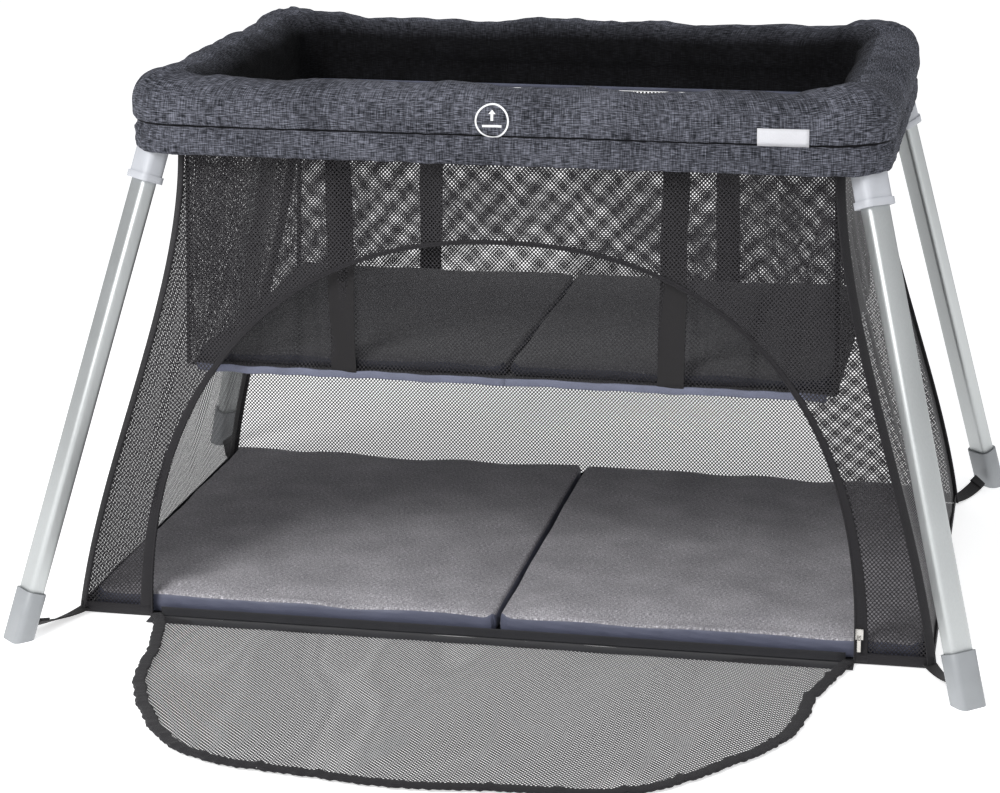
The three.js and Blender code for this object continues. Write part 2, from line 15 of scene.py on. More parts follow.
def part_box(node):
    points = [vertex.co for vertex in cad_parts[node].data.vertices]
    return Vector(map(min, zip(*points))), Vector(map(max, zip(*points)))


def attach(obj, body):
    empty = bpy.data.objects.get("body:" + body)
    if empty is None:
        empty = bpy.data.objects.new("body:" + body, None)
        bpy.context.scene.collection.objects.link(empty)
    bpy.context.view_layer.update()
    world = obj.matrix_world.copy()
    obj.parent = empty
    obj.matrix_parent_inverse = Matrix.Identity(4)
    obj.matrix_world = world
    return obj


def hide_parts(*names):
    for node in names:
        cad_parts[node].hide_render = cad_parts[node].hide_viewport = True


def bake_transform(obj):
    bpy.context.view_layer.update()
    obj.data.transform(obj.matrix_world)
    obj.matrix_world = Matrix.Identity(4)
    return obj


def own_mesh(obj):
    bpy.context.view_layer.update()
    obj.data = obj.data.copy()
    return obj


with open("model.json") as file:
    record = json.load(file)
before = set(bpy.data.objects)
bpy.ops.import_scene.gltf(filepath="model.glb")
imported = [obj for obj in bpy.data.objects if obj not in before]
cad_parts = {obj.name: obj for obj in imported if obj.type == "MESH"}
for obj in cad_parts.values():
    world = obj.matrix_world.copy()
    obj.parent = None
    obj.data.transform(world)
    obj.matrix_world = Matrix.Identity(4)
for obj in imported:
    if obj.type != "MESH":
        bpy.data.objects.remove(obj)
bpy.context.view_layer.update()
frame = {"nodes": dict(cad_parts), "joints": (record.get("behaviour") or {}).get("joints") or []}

UP = np.array([0.0, 0.0, 1.0])
SIDES = {"left": -1, "right": 1}
DEPTHS = {"front": -1, "back": 1}

# ---------- places from the frame ----------
tent_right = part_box("tent_wall_right")
tent_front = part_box("tent_wall_front")
bassinet_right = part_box("bassinet_wall_right")
bassinet_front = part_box("bassinet_wall_front")
flap_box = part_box("door_flap")
strap_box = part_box("bassinet_strap_right")
floor_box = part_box("tent_floor")
bassinet_floor_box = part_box("bassinet_floor")

WALL_TOP = tent_right[1].z
TENT_TOP = {"x": tent_right[0].x, "y": -tent_front[1].y}
TENT_FOOT = {"x": tent_right[1].x, "y": -tent_front[0].y}
BASSINET_TOP = {"x": bassinet_right[0].x, "y": -bassinet_front[1].y}
BASSINET_FOOT = {"x": bassinet_right[1].x, "y": -bassinet_front[0].y}
BASSINET_FLOOR = bassinet_right[0].z
FOLD_PIVOT = next(j for j in frame["joints"] if j["name"] == "frame_fold")["pos_m"]

# ---------- sizes of the fabric ----------
FLAP_GAP = 0.0025  # between the door flap's side and the arch
FLAP_SLACK = 0.018
SILL = 0.014
DOOR_HALF = flap_box[1].x + FLAP_GAP
DOOR_HEIGHT = flap_box[1].y - flap_box[0].y + FLAP_SLACK - SILL  # above the sill
DOOR_POWER = 2.25
FLAP_POWER = 2.9  # the slack flap lies squarer than the arch it closes
FLAP_DRAWN_IN = 0.075
FLAP_SHORT = 0.010  # taken up by its ripples
MESH_PITCH = 0.0052  # between the holes of a row
MESH_ROWS = 1.1  # height of a pair of staggered rows, in pitches
MESH_OPEN = {"tent": 0.42, "bassinet": 0.60, "side": 0.20, "flap": 0.30}  # share of the cloth that is holes
BINDING = 0.014
WEBBING = 0.0014
SEAM_Z = 0.645  # the seam along the cover's outer face
MARK_X = -0.003  # the ring stays on the cover of the front lock
INSIDE_TOP = 0.703  # the cover's inner face, in the cloth with painted shade, starts here
BAND_TOP = 0.619  # top of the binding under the inner face
LABEL = (0.062, 0.021)
MATTRESS_ROUND = 0.005  # along its upper edge
MATTRESS_CORNER = 0.012
MATTRESS_CROWN = 0.003
BAND_LEVELS = 7  # rows of points down a mattress's side


# ---------- plain maths ----------
def flare(share):
    """How far a tent wall has swung out, from 0 at the rail to 1 at the floor."""
    share = np.clip(share, 0, 1)
    return 0.6 * share**2 * (3 - 2 * share) + 0.4 * share**1.5


def tent_at(z, axis):
    """Half the tent's extent along x or y at a height."""
    return TENT_TOP[axis] + (TENT_FOOT[axis] - TENT_TOP[axis]) * flare((WALL_TOP - z) / WALL_TOP)


def bassinet_at(z, axis):
    """Half the bassinet's extent along x or y at a height."""
    share = (WALL_TOP - z) / (WALL_TOP - BASSINET_FLOOR)
    return BASSINET_TOP[axis] + (BASSINET_FOOT[axis] - BASSINET_TOP[axis]) * share


def waves(a, b, seed, terms=7):
    """Smooth noise of about -1 to 1 over two coordinates given in wavelengths."""
    rng = np.random.default_rng(seed)
    total = np.zeros(np.broadcast(a, b).shape)
    for _ in range(terms):
        ka, kb = rng.normal(0, 1, 2)
        total = total + np.sin(2 * math.pi * (ka * a + kb * b) + rng.uniform(0, 2 * math.pi))
    return total / math.sqrt(terms / 1.3)


def bump(x, centre, width):
    return np.exp(-(((x - centre) / width) ** 2))


def lengths(points):
    """Distance travelled at each point of a line."""
    steps = np.linalg.norm(np.diff(points, axis=0), axis=1)
    return np.concatenate([[0.0], np.cumsum(steps)])


def resample(points, count):
    """A line's points again, evenly spaced."""
    points = np.asarray(points, float)
    along = lengths(points)
    wanted = np.linspace(0, along[-1], count)
    return np.stack([np.interp(wanted, along, points[:, k]) for k in range(points.shape[1])], 1)


def smooth_curve(points, count, loop=False):
    """Catmull-Rom through a few points, evenly spaced."""
    p = np.asarray(points, float)
    p = np.vstack([p[-1:], p, p[:2]]) if loop else np.vstack([2 * p[0] - p[1], p, 2 * p[-1] - p[-2]])
    t = np.linspace(0, 1, 12, endpoint=False)[:, None]
    parts = []
    for a, b, c, d in zip(p[:-3], p[1:-2], p[2:-1], p[3:]):
        curve = (2 * a - 5 * b + 4 * c - d) * t**2 + (3 * b - a - 3 * c + d) * t**3
        parts.append(0.5 * (2 * b + (c - a) * t + curve))
    line = np.vstack([*parts, p[-2:-1]])
    if loop:
        return resample(line, count + 1)[:-1]
    return resample(line, count)


def unit(vectors):
    return vectors / np.maximum(np.linalg.norm(vectors, axis=-1, keepdims=True), 1e-12)


# ---------- meshes ----------
def closed(grid, axis):
    """A grid with its first row or column again at its end."""
    return np.concatenate([grid, np.take(grid, [0], axis)], axis)


def numbered(*shape):
    return np.arange(math.prod(shape)).reshape(shape)


def quads(grid):
    """The four corners of each cell of a grid of numbers."""
    return np.stack([grid[:-1, :-1], grid[1:, :-1], grid[1:, 1:], grid[:-1, 1:]], -1).reshape(-1, 4)


def corner_uvs(uv):
    return uv.reshape(-1, 2)[quads(numbered(*uv.shape[:2]))].reshape(-1, 2)


def new_piece(name, vertices, faces, uvs, looks, slots=()):
    """A smooth mesh in the scene, with a UV in metres for each corner and a material for each face."""
    mesh = bpy.data.meshes.new(name)
    mesh.from_pydata(vertices.reshape(-1, 3).tolist(), [], faces)
    for look in looks:
        mesh.materials.append(look)
    uv_values = np.zeros((len(mesh.loops), 2), np.float32)
    uv_values[: len(uvs)] = uvs
    mesh.uv_layers.new(name="metres").data.foreach_set("uv", uv_values.ravel())
    index = np.zeros(len(mesh.polygons), np.int32)
    index[: len(slots)] = slots
    mesh.polygons.foreach_set("material_index", index)
    mesh.polygons.foreach_set("use_smooth", np.ones(len(mesh.polygons), bool))
    mesh.validate()
    piece = bpy.data.objects.new(name, mesh)
    bpy.context.scene.collection.objects.link(piece)
    return piece


def surface(name, points, looks, uv=None, wrap_rows=False, wrap_columns=False, caps=False, column_slots=None):
    """Quads over a grid of points (rows, columns, 3); tubes are made facing out."""
    points = np.asarray(points, float)
    rows, columns = points.shape[:2]
    number = numbered(rows, columns)
    down = over = points
    if wrap_rows:
        number, down = closed(number, 0), closed(points, 0)
    if wrap_columns:
        number, over = closed(number, 1), closed(points, 1)
    faces = quads(number).tolist()
    if caps:
        faces.append(list(range(columns)))
        faces.append(list(range((rows - 1) * columns, rows * columns))[::-1])
    if uv is None:
        across = over[rows // 2] if wrap_columns else over.mean(0)
        uv = np.stack(np.meshgrid(lengths(down.mean(1)), lengths(across), indexing="ij"), 2)
    slots = () if column_slots is None else np.tile(column_slots[: number.shape[1] - 1], number.shape[0] - 1)
    looks = looks if isinstance(looks, (list, tuple)) else [looks]
    return new_piece(name, points, faces, corner_uvs(uv), looks, slots)


def sweep(name, line, across, look, section):
    """A solid: a section of (across, up) points moved along a line."""
    line = np.asarray(line, float)
    across = unit(np.broadcast_to(np.asarray(across, float), line.shape))
    up = unit(np.cross(across, unit(np.gradient(line, axis=0))))
    section = np.asarray(section, float)
    points = line[:, None] + across[:, None] * section[None, :, :1] + up[:, None] * section[None, :, 1:]
    return surface(name, points, look, wrap_columns=True, caps=True)


def flat_section(width, thickness, sides=3):
    """The rounded outline of a strap or tape."""
    half, r = width / 2 - thickness / 2, thickness / 2
    angles = np.linspace(-math.pi / 2, math.pi / 2, sides + 2)
    right = [(half + r * math.cos(a), r * math.sin(a)) for a in angles]
    left = [(-x, -y) for x, y in right]
    return right + left


def coordinates(piece):
    values = np.zeros(len(piece.data.vertices) * 3)
    piece.data.vertices.foreach_get("co", values)
    return values.reshape(-1, 3)


def inflate(piece, pinned, pressure, cap, frames=20, stiffness=12):
    """Fills a closed piece with air by a cloth simulation; some points are held and none moves past a cap."""
    start = coordinates(piece)
    held = piece.vertex_groups.new(name="held")
    held.add([int(i) for i in np.nonzero(pinned)[0]], 1.0, "REPLACE")
    cloth = piece.modifiers.new("Cloth", "CLOTH")
    settings = cloth.settings
    settings.quality = 5
    settings.mass = 0.3
    settings.tension_stiffness = stiffness
    settings.compression_stiffness = stiffness
    settings.shear_stiffness = stiffness / 2
    settings.bending_stiffness = 0.4
    settings.vertex_group_mass = "held"
    settings.use_pressure = True
    settings.uniform_pressure_force = pressure
    settings.effector_weights.gravity = 0
    cloth.collision_settings.use_collision = False
    cloth.point_cache.frame_start = 1
    cloth.point_cache.frame_end = frames
    for number in range(1, frames + 1):
        bpy.context.scene.frame_set(number)
    shaped = piece.evaluated_get(bpy.context.evaluated_depsgraph_get())
    moved = np.zeros(len(start) * 3)
    shaped.data.vertices.foreach_get("co", moved)
    step = moved.reshape(-1, 3) - start
    far = np.linalg.norm(step, axis=1, keepdims=True)
    step *= np.minimum(1, cap / np.maximum(far, 1e-9))
    piece.modifiers.remove(cloth)
    piece.vertex_groups.remove(held)
    piece.data.vertices.foreach_set("co", (start + step).ravel())
    bpy.context.scene.frame_set(1)


# ---------- materials ----------
class Look:
    """A material's nodes, with short ways to add and join them."""

    def __init__(self, name, colour=(0.5, 0.5, 0.5), roughness=0.8, **sockets):
        self.material = bpy.data.materials.new(name)
        self.material.use_nodes = True
        self.tree = self.material.node_tree
        self.shader = self.tree.nodes["Principled BSDF"]
        self.shader.inputs["Base Color"].default_value = (*colour, 1)
        self.shader.inputs["Roughness"].default_value = roughness
        for socket, value in sockets.items():
            self.shader.inputs[socket.replace("_", " ")].default_value = value
        self.place = None

    def add(self, kind, inputs=(), **settings):
        node = self.tree.nodes.new("ShaderNode" + kind)
        for key, value in settings.items():
            setattr(node, key, value)
        for key, value in dict(inputs).items():
            if isinstance(value, bpy.types.NodeSocket):
                self.tree.links.new(value, node.inputs[key])
            else:
                node.inputs[key].default_value = value
        return node

    def math(self, operation, a, b=0.0, c=0.0):
        return self.add("Math", {0: a, 1: b, 2: c}, operation=operation).outputs[0]

    def where(self, coordinate="UV"):
        if self.place is None:
            self.place = self.add("TexCoord").outputs[coordinate]
        return self.place

    def scaled(self, x, y, z=1.0):
        """The coordinates multiplied, so that one unit is one wavelength."""
        return self.add("Mapping", {"Vector": self.where(), "Scale": (x, y, z)}).outputs[0]

    def noise(self, x, y, z=1.0, detail=2.0, rough=0.5):
        inputs = {"Vector": self.scaled(x, y, z), "Scale": 1.0, "Detail": detail, "Roughness": rough}
        return self.add("TexNoise", inputs).outputs["Fac"]

    def blend(self, a, b, share=0.5):
        """Two values added, the first with its share and the second with the rest."""
        return self.math("ADD", self.math("MULTIPLY", a, share), self.math("MULTIPLY", b, 1 - share))

    def ramp(self, value, *stops):
        node = self.add("ValToRGB", {"Fac": value})
        line = node.color_ramp
        while len(line.elements) < len(stops):
            line.elements.new(0.5)
        for element, (at, colour) in zip(line.elements, stops):
            element.position = at
            element.color = (*colour, 1)
        return node.outputs["Color"]

    def tint(self, value, colour, *stops):
        """Colours the surface with shades of one colour, each stop a (place, brightness)."""
        shades = [(at, tuple(min(1, v * times) for v in colour)) for at, times in stops]
        self.set("Base Color", self.ramp(value, *shades))

    def roughen(self, value, low, high):
        span = {"Value": value, "From Min": 0.3, "From Max": 0.7, "To Min": low, "To Max": high}
        self.set("Roughness", self.add("MapRange", span).outputs[0])

    def set(self, socket, value):
        self.tree.links.new(value, self.shader.inputs[socket])

    def relief(self, height, distance, strength=1.0):
        node = self.add("Bump", {"Height": height, "Distance": distance, "Strength": strength})
        self.set("Normal", node.outputs["Normal"])


def melange(name, dark, light, streak=0.012, thread=0.0012, sheen=0.25, contrast=0.5, painted_shade=None):
    """Heathered cloth: light and dark threads of a plain weave, in streaks along U and fewer along V.

    A painted shade (start, end, low) darkens it to a low share between two distances along V, standing in for
    the shade that falls deep down the cloth.
    """
    look = Look(name, roughness=0.92, Sheen_Weight=sheen, Sheen_Roughness=0.5, Specular_IOR_Level=0.15)
    weft = look.noise(1 / streak, 1 / thread, detail=3.0, rough=0.6)
    warp = look.noise(1 / thread, 0.6 / streak, detail=3.0, rough=0.6)
    patch = look.noise(14, 14, detail=2.0)
    blend = look.blend(weft, warp, 0.62)
    blend = look.math("ADD", blend, look.math("MULTIPLY", look.math("SUBTRACT", patch, 0.5), 0.12))
    middle = tuple(a + (b - a) * 0.28 for a, b in zip(dark, light))
    spread = 0.09 + 0.20 * (1 - contrast)
    colour = look.ramp(blend, (0.5 - spread, dark), (0.5, middle), (0.5 + spread, light))
    # painted shade: the colour multiplied darker along V
    if painted_shade:
        start, end, low = painted_shade
        along = look.add("SeparateXYZ", {0: look.where()}).outputs["Y"]
        span = {"Value": along, "From Min": start, "From Max": end, "To Min": 1.0, "To Max": low}
        shade = look.add("MapRange", span).outputs[0]
        darkened = look.add("Mix", {0: 1.0, 6: colour, 7: shade}, data_type="RGBA", blend_type="MULTIPLY")
        colour = darkened.outputs[2]
    look.set("Base Color", colour)
    weave = 0.5 / thread
    over, under = (look.add("TexWave", {"Vector": look.where(), "Scale": weave}, wave_type="BANDS",
                            bands_direction=way) for way in "XY")
    height = look.math("ADD", look.math("MULTIPLY", over.outputs["Fac"], under.outputs["Fac"]), blend)
    look.relief(height, 0.0004, 0.7)
    return look.material


def plain_cloth(name, colour, thread=0.0011, roughness=0.75, sheen=0.15, vary=0.12):
    """Smooth close-woven cloth with a faint weave and soft creases."""
    look = Look(name, roughness=roughness, Sheen_Weight=sheen)
    crease = look.noise(22, 22, detail=4.0, rough=0.6)
    weave = look.noise(1 / thread, 0.5 / thread, detail=2.0)
    tone = look.blend(crease, weave, 0.6)
    look.tint(tone, colour, (0.35, 1 - 2 * vary), (0.65, 1 + 2 * vary))
    height = look.math("ADD", look.math("MULTIPLY", crease, 3.0), weave)
    look.relief(height, 0.0006, 0.6)
    return look.material


def open_mesh(name, colour, share):
    """Knitted mesh: round holes in staggered rows, which let light and sight through a share of it."""
    look = Look(name, colour=colour, roughness=0.6, Sheen_Weight=0.1, Specular_IOR_Level=0.3)
    row = MESH_PITCH * MESH_ROWS
    radius = math.sqrt(share * MESH_ROWS / (2 * math.pi))
    near = []
    for shift in (0.0, 0.5):
        cell = look.add("Mapping", {"Vector": look.where(), "Scale": (1 / MESH_PITCH, 1 / row, 0),
                                    "Location": (shift, shift, 0)}).outputs[0]
        part = look.add("VectorMath", {0: cell}, operation="FRACTION").outputs[0]
        off = look.add("VectorMath", {0: part, 1: (0.5, 0.5, 0.0)}, operation="SUBTRACT").outputs[0]
        scaled = look.add("VectorMath", {0: off, 1: (1.0, MESH_ROWS, 0.0)}, operation="MULTIPLY").outputs[0]
        near.append(look.add("VectorMath", {0: scaled}, operation="LENGTH").outputs["Value"])
    distance = look.math("MINIMUM", *near)
    edge = look.add("MapRange", {"Value": distance, "From Min": radius - 0.03, "From Max": radius + 0.03})
    look.set("Alpha", edge.outputs[0])
    yarn = look.noise(700, 700, detail=2.0)
    look.tint(yarn, colour, (0.3, 1.0), (0.7, 2.2))
    look.relief(look.math("MULTIPLY", distance, 1.0), 0.0006, 0.5)
    return look.material


def tape(name, colour, rib=0.0016):
    """Ribbed binding tape, with ribs across its length."""
    look = Look(name, roughness=0.7, Sheen_Weight=0.1, Specular_IOR_Level=0.3)
    inputs = {"Vector": look.scaled(1, 1), "Scale": 0.5 / rib, "Distortion": 1.2, "Detail": 2.0}
    ribs = look.add("TexWave", inputs, wave_type="BANDS", bands_direction="X").outputs["Fac"]
    fleck = look.noise(900, 500, detail=2.0)
    look.tint(look.blend(ribs, fleck), colour, (0.35, 0.6), (0.75, 2.6))
    look.relief(look.math("ADD", ribs, fleck), 0.0005, 0.8)
    return look.material


def webbing_look(name, colour):
    """Flat woven webbing: fine twill rows with a firmer edge."""
    look = Look(name, roughness=0.65, Sheen_Weight=0.08, Specular_IOR_Level=0.3)
    twill = look.add("TexWave", {"Vector": look.scaled(1, 1), "Scale": 420, "Distortion": 0.4},
                     wave_type="BANDS", bands_direction="DIAGONAL").outputs["Fac"]
    fleck = look.noise(500, 900, detail=2.0)
    look.tint(look.blend(twill, fleck), colour, (0.3, 0.6), (0.8, 2.4))
    look.relief(look.math("ADD", twill, fleck), 0.0004, 0.8)
    return look.material


def brushed_metal(name, colour, roughness, grain=(900, 900, 12)):
    """Satin metal with fine lines drawn along Z."""
    look = Look(name, colour=colour, roughness=roughness, Metallic=1.0)
    look.where("Object")
    lines = look.noise(*grain, detail=3.0)
    smudge = look.noise(9, 9, 9, detail=3.0)
    tone = look.blend(lines, smudge)
    look.tint(tone, colour, (0.3, 0.9), (0.7, 1.06))
    look.roughen(tone, roughness - 0.06, roughness + 0.08)
    look.relief(lines, 0.00008, 0.5)
    return look.material


def moulded_plastic(name, colour, roughness=0.42):
    """Satin plastic with a fine moulded grain."""
    look = Look(name, colour=colour, roughness=roughness, Subsurface_Weight=0.0)
    look.where("Object")
    grain = look.noise(1600, 1600, 1600, detail=2.0)
    cloud = look.noise(25, 25, 25, detail=3.0)
    look.tint(cloud, colour, (0.35, 0.95), (0.65, 1.03))
    look.roughen(cloud, roughness - 0.05, roughness + 0.08)
    look.relief(grain, 0.00006, 0.6)
    return look.material


RAIL_DARK, RAIL_LIGHT = (0.003, 0.004, 0.006), (0.200, 0.206, 0.248)
PAINTED_SHADE_SPAN = (0.116, 0.172, 0.06)  # painted shade: the cover's inner face darker from its crest downward
MELANGE_BLUE = melange("rail_melange", RAIL_DARK, RAIL_LIGHT, thread=0.0011, sheen=0.0, contrast=0.9)
# painted shade: the rail's cloth darkened with depth down its inner face and underside
INSIDE_PAINTED_SHADE = melange("rail_inside_painted_shade", RAIL_DARK, RAIL_LIGHT, thread=0.0011, sheen=0.0, contrast=0.9,
                 painted_shade=PAINTED_SHADE_SPAN)
# painted shade: near-black cloth standing in for the shade in the seam's groove
SEAM_PAINTED_SHADE = melange("rail_seam_painted_shade", (0.002, 0.002, 0.003), (0.008, 0.008, 0.010), sheen=0.0, contrast=0.5)
PIPING = plain_cloth("grey_blue_binding", (0.13, 0.14, 0.20), roughness=0.6)
MESH, BASSINET_MESH, SIDE_MESH, FLAP_MESH = (
    open_mesh(f"black_{where}_mesh", (0.012, 0.011, 0.013), share) for where, share in MESH_OPEN.items())
TAPE = tape("black_binding", (0.012, 0.011, 0.013))
WEBBING_LOOK = webbing_look("black_webbing", (0.012, 0.011, 0.012))
FLOOR_CLOTH = plain_cloth("black_floor_cloth", (0.018, 0.018, 0.022))
MATTRESS_TOP = melange("mattress_melange", (0.16, 0.155, 0.17), (0.95, 0.92, 0.97), streak=0.004,
                       thread=0.0009, sheen=0.05, contrast=0.6)
MATTRESS_SIDE = plain_cloth("mattress_side", (0.105, 0.113, 0.168), roughness=0.5, vary=0.05)
NAVY = plain_cloth("navy_cloth", (0.012, 0.014, 0.026), vary=0.15)
UPPER_TOP = melange("upper_mattress_melange", (0.03, 0.03, 0.034), (0.15, 0.15, 0.16), streak=0.004,
                    thread=0.0009, contrast=0.3)
WHITE_CLOTH = plain_cloth("white_label", (0.60, 0.60, 0.63), vary=0.03)
PRINT = plain_cloth("white_print", (0.80, 0.80, 0.82), vary=0.05)
ALUMINIUM = brushed_metal("satin_aluminium", (0.60, 0.62, 0.62), 0.50)
STEEL = brushed_metal("nickel_steel", (0.62, 0.60, 0.57), 0.25, grain=(500, 500, 500))
WHITE_PLASTIC = moulded_plastic("white_plastic", (0.50, 0.515, 0.55))
FOOT_PLASTIC = moulded_plastic("foot_plastic", (0.34, 0.355, 0.37))


# ---------- hard pieces: better materials and softened edges ----------
def dress_frame():
    """Gives the frame's own nodes their materials, smooth rounds and small bevels."""
    looks = {"leg": ALUMINIUM, "end_rail": ALUMINIUM, "long_rail": ALUMINIUM, "corner_moulding": WHITE_PLASTIC,
             "foot_cap": FOOT_PLASTIC, "lock_housing": FOOT_PLASTIC, "lock_button": WHITE_PLASTIC,
             "corner_pivot_pin": STEEL, "lock_pin": STEEL, "zip_slider": STEEL, "zip_pull": STEEL}
    for name, node in frame["nodes"].items():
        kind = next((k for k in looks if name.startswith(k)), None)
        if kind is None:
            continue
        node.data.materials.clear()
        node.data.materials.append(looks[kind])
        node.data.polygons.foreach_set("use_smooth", np.ones(len(node.data.polygons), bool))
        weld = node.modifiers.new("Weld", "WELD")
        weld.merge_threshold = 0.00002
        round_over = node.modifiers.new("Bevel", "BEVEL")
        round_over.width = 0.0003 if name.startswith("zip") else 0.0008
        round_over.segments = 2
        round_over.limit_method = "ANGLE"
        round_over.angle_limit = math.radians(38)
        round_over.harden_normals = True


# ---------- the padded cover ----------
SWELL = 0.003  # room left round a mattress for its padding to swell into
COVER_STEPS = {"end": 76, "corner": 18, "long": 130}
COVER_ROUND = 92
COVER_CORNER = 0.055
COVER_CORNER_SPREAD = 0.45
COVER_WIDE = 1.1  # the ends are this much wider than the long sides
COVER_CUTS = (0.385, 0.20, 0.026)  # where the cover is cut, on each side of the middle
CORNER_BEND = (0.375, 0.428)
LOCK_BEND = (0.028, 0.060)
FOLDED = {"lower": 0.48, "upper": 0.32, "floor": 0.49, "door": 0.37}  # share of its length each keeps
PIVOT_INSET = 0.028
COVER_SECTION = [
    (0.029, 0.6110), (0.0345, 0.6150), (0.0350, 0.628), (0.0345, 0.6425), (0.0350, 0.6465), (0.0368, 0.654),
    (0.0370, 0.668), (0.0330, 0.686), (0.020, 0.6995), (0.0, 0.7045), (-0.019, 0.7005), (-0.0315, 0.689),
    (-0.0355, 0.673), (-0.0350, 0.650), (-0.0342, 0.630), (-0.0350, 0.622), (-0.0340, 0.6130), (-0.028, 0.6105),
    (0.0, 0.6110),
]

RAIL_X = PIVOT_INSET - FOLD_PIVOT[0]
RAIL_Y = -FOLD_PIVOT[1]


def rounded_loop(half_x, half_y, radius):
    """Points round the rail, from the middle of the left end by way of the front left corner."""
    flat_x, flat_y = half_x - radius, half_y - radius
    ends, corner, long = COVER_STEPS["end"] // 2, COVER_STEPS["corner"], COVER_STEPS["long"]

    def line(a, b, steps):
        t = np.arange(steps)[:, None] / steps
        return np.array(a) + (np.array(b) - np.array(a)) * t

    def arc(cx, cy, start):
        angle = math.radians(start) + np.arange(corner) / corner * math.pi / 2
        return np.stack([cx + radius * np.cos(angle), cy + radius * np.sin(angle)], 1)

    return np.vstack([
        line((-half_x, 0), (-half_x, -flat_y), ends), arc(-flat_x, -flat_y, 180),
        line((-flat_x, -half_y), (flat_x, -half_y), long), arc(flat_x, -flat_y, 270),
        line((half_x, -flat_y), (half_x, flat_y), 2 * ends), arc(flat_x, flat_y, 0),
        line((flat_x, half_y), (-flat_x, half_y), long), arc(-flat_x, flat_y, 90),
        line((-half_x, flat_y), (-half_x, 0), ends)])


def cover_points():
    """The padded ring round the rail: (columns along the rail, points round the section, 3)."""
    section = smooth_curve(COVER_SECTION, COVER_ROUND, loop=True)
    loops = []
    for out, z in section:
        radius = COVER_CORNER + out * (COVER_CORNER_SPREAD)
        loop = rounded_loop(RAIL_X + out * COVER_WIDE, RAIL_Y + out, radius)
        loops.append(np.column_stack([loop, np.full(len(loop), z)]))
    points = np.stack(loops, 1)
    ahead = np.roll(points, -1, 0) - np.roll(points, 1, 0)
    round_ = np.roll(points, -1, 1) - np.roll(points, 1, 1)
    normal = unit(np.cross(ahead, round_))
    along = lengths(points[:, 0])[:, None] + np.zeros(points.shape[:2])
    out = np.broadcast_to(section[None, :, 0], along.shape)
    z = points[..., 2]
    x, y = points[..., 0], points[..., 1]
    corner = bump(np.abs(x), RAIL_X, 0.05) * bump(np.abs(y), RAIL_Y, 0.05)
    upper = np.clip((z - SEAM_Z) / 0.03, 0, 1)
    push = 0.0013 * waves(along / 0.20, z / 0.07 + out / 0.1, 3) * upper
    push += 0.0006 * waves(along / 0.045, z / 0.05 + out / 0.06, 5) * upper
    push += 0.0007 * waves(along / 0.018, z / 0.03, 7) * bump(z, SEAM_Z, 0.012) * (out > 0)
    push -= 0.0042 * bump(z, SEAM_Z, 0.0035) * (out > 0)
    push += 0.0016 * waves(along / 0.02, z / 0.08, 9) * corner * (out < 0.01)
    push += 0.0006 * waves(along / 0.03, z / 0.02, 11) * (z < SEAM_Z) * (out > 0)
    points = points + normal * push[..., None]
    lift = 0.011 * corner * upper + 0.002 * waves(along / 0.30, 0 * z, 13) * upper
    points[..., 2] += lift
    return points, section


def cover_ring():
    """The whole cover as one mesh, swollen by its padding."""
    points, section = cover_points()
    ring = surface("cover_ring", points, MELANGE_BLUE, wrap_rows=True, wrap_columns=True)
    stiff = np.broadcast_to((section[:, 1] < SEAM_Z + 0.002)[None], points.shape[:2]).ravel()
    inflate(ring, stiff, pressure=2.0, cap=0.0025, frames=14)
    return ring, points.shape[:2], section


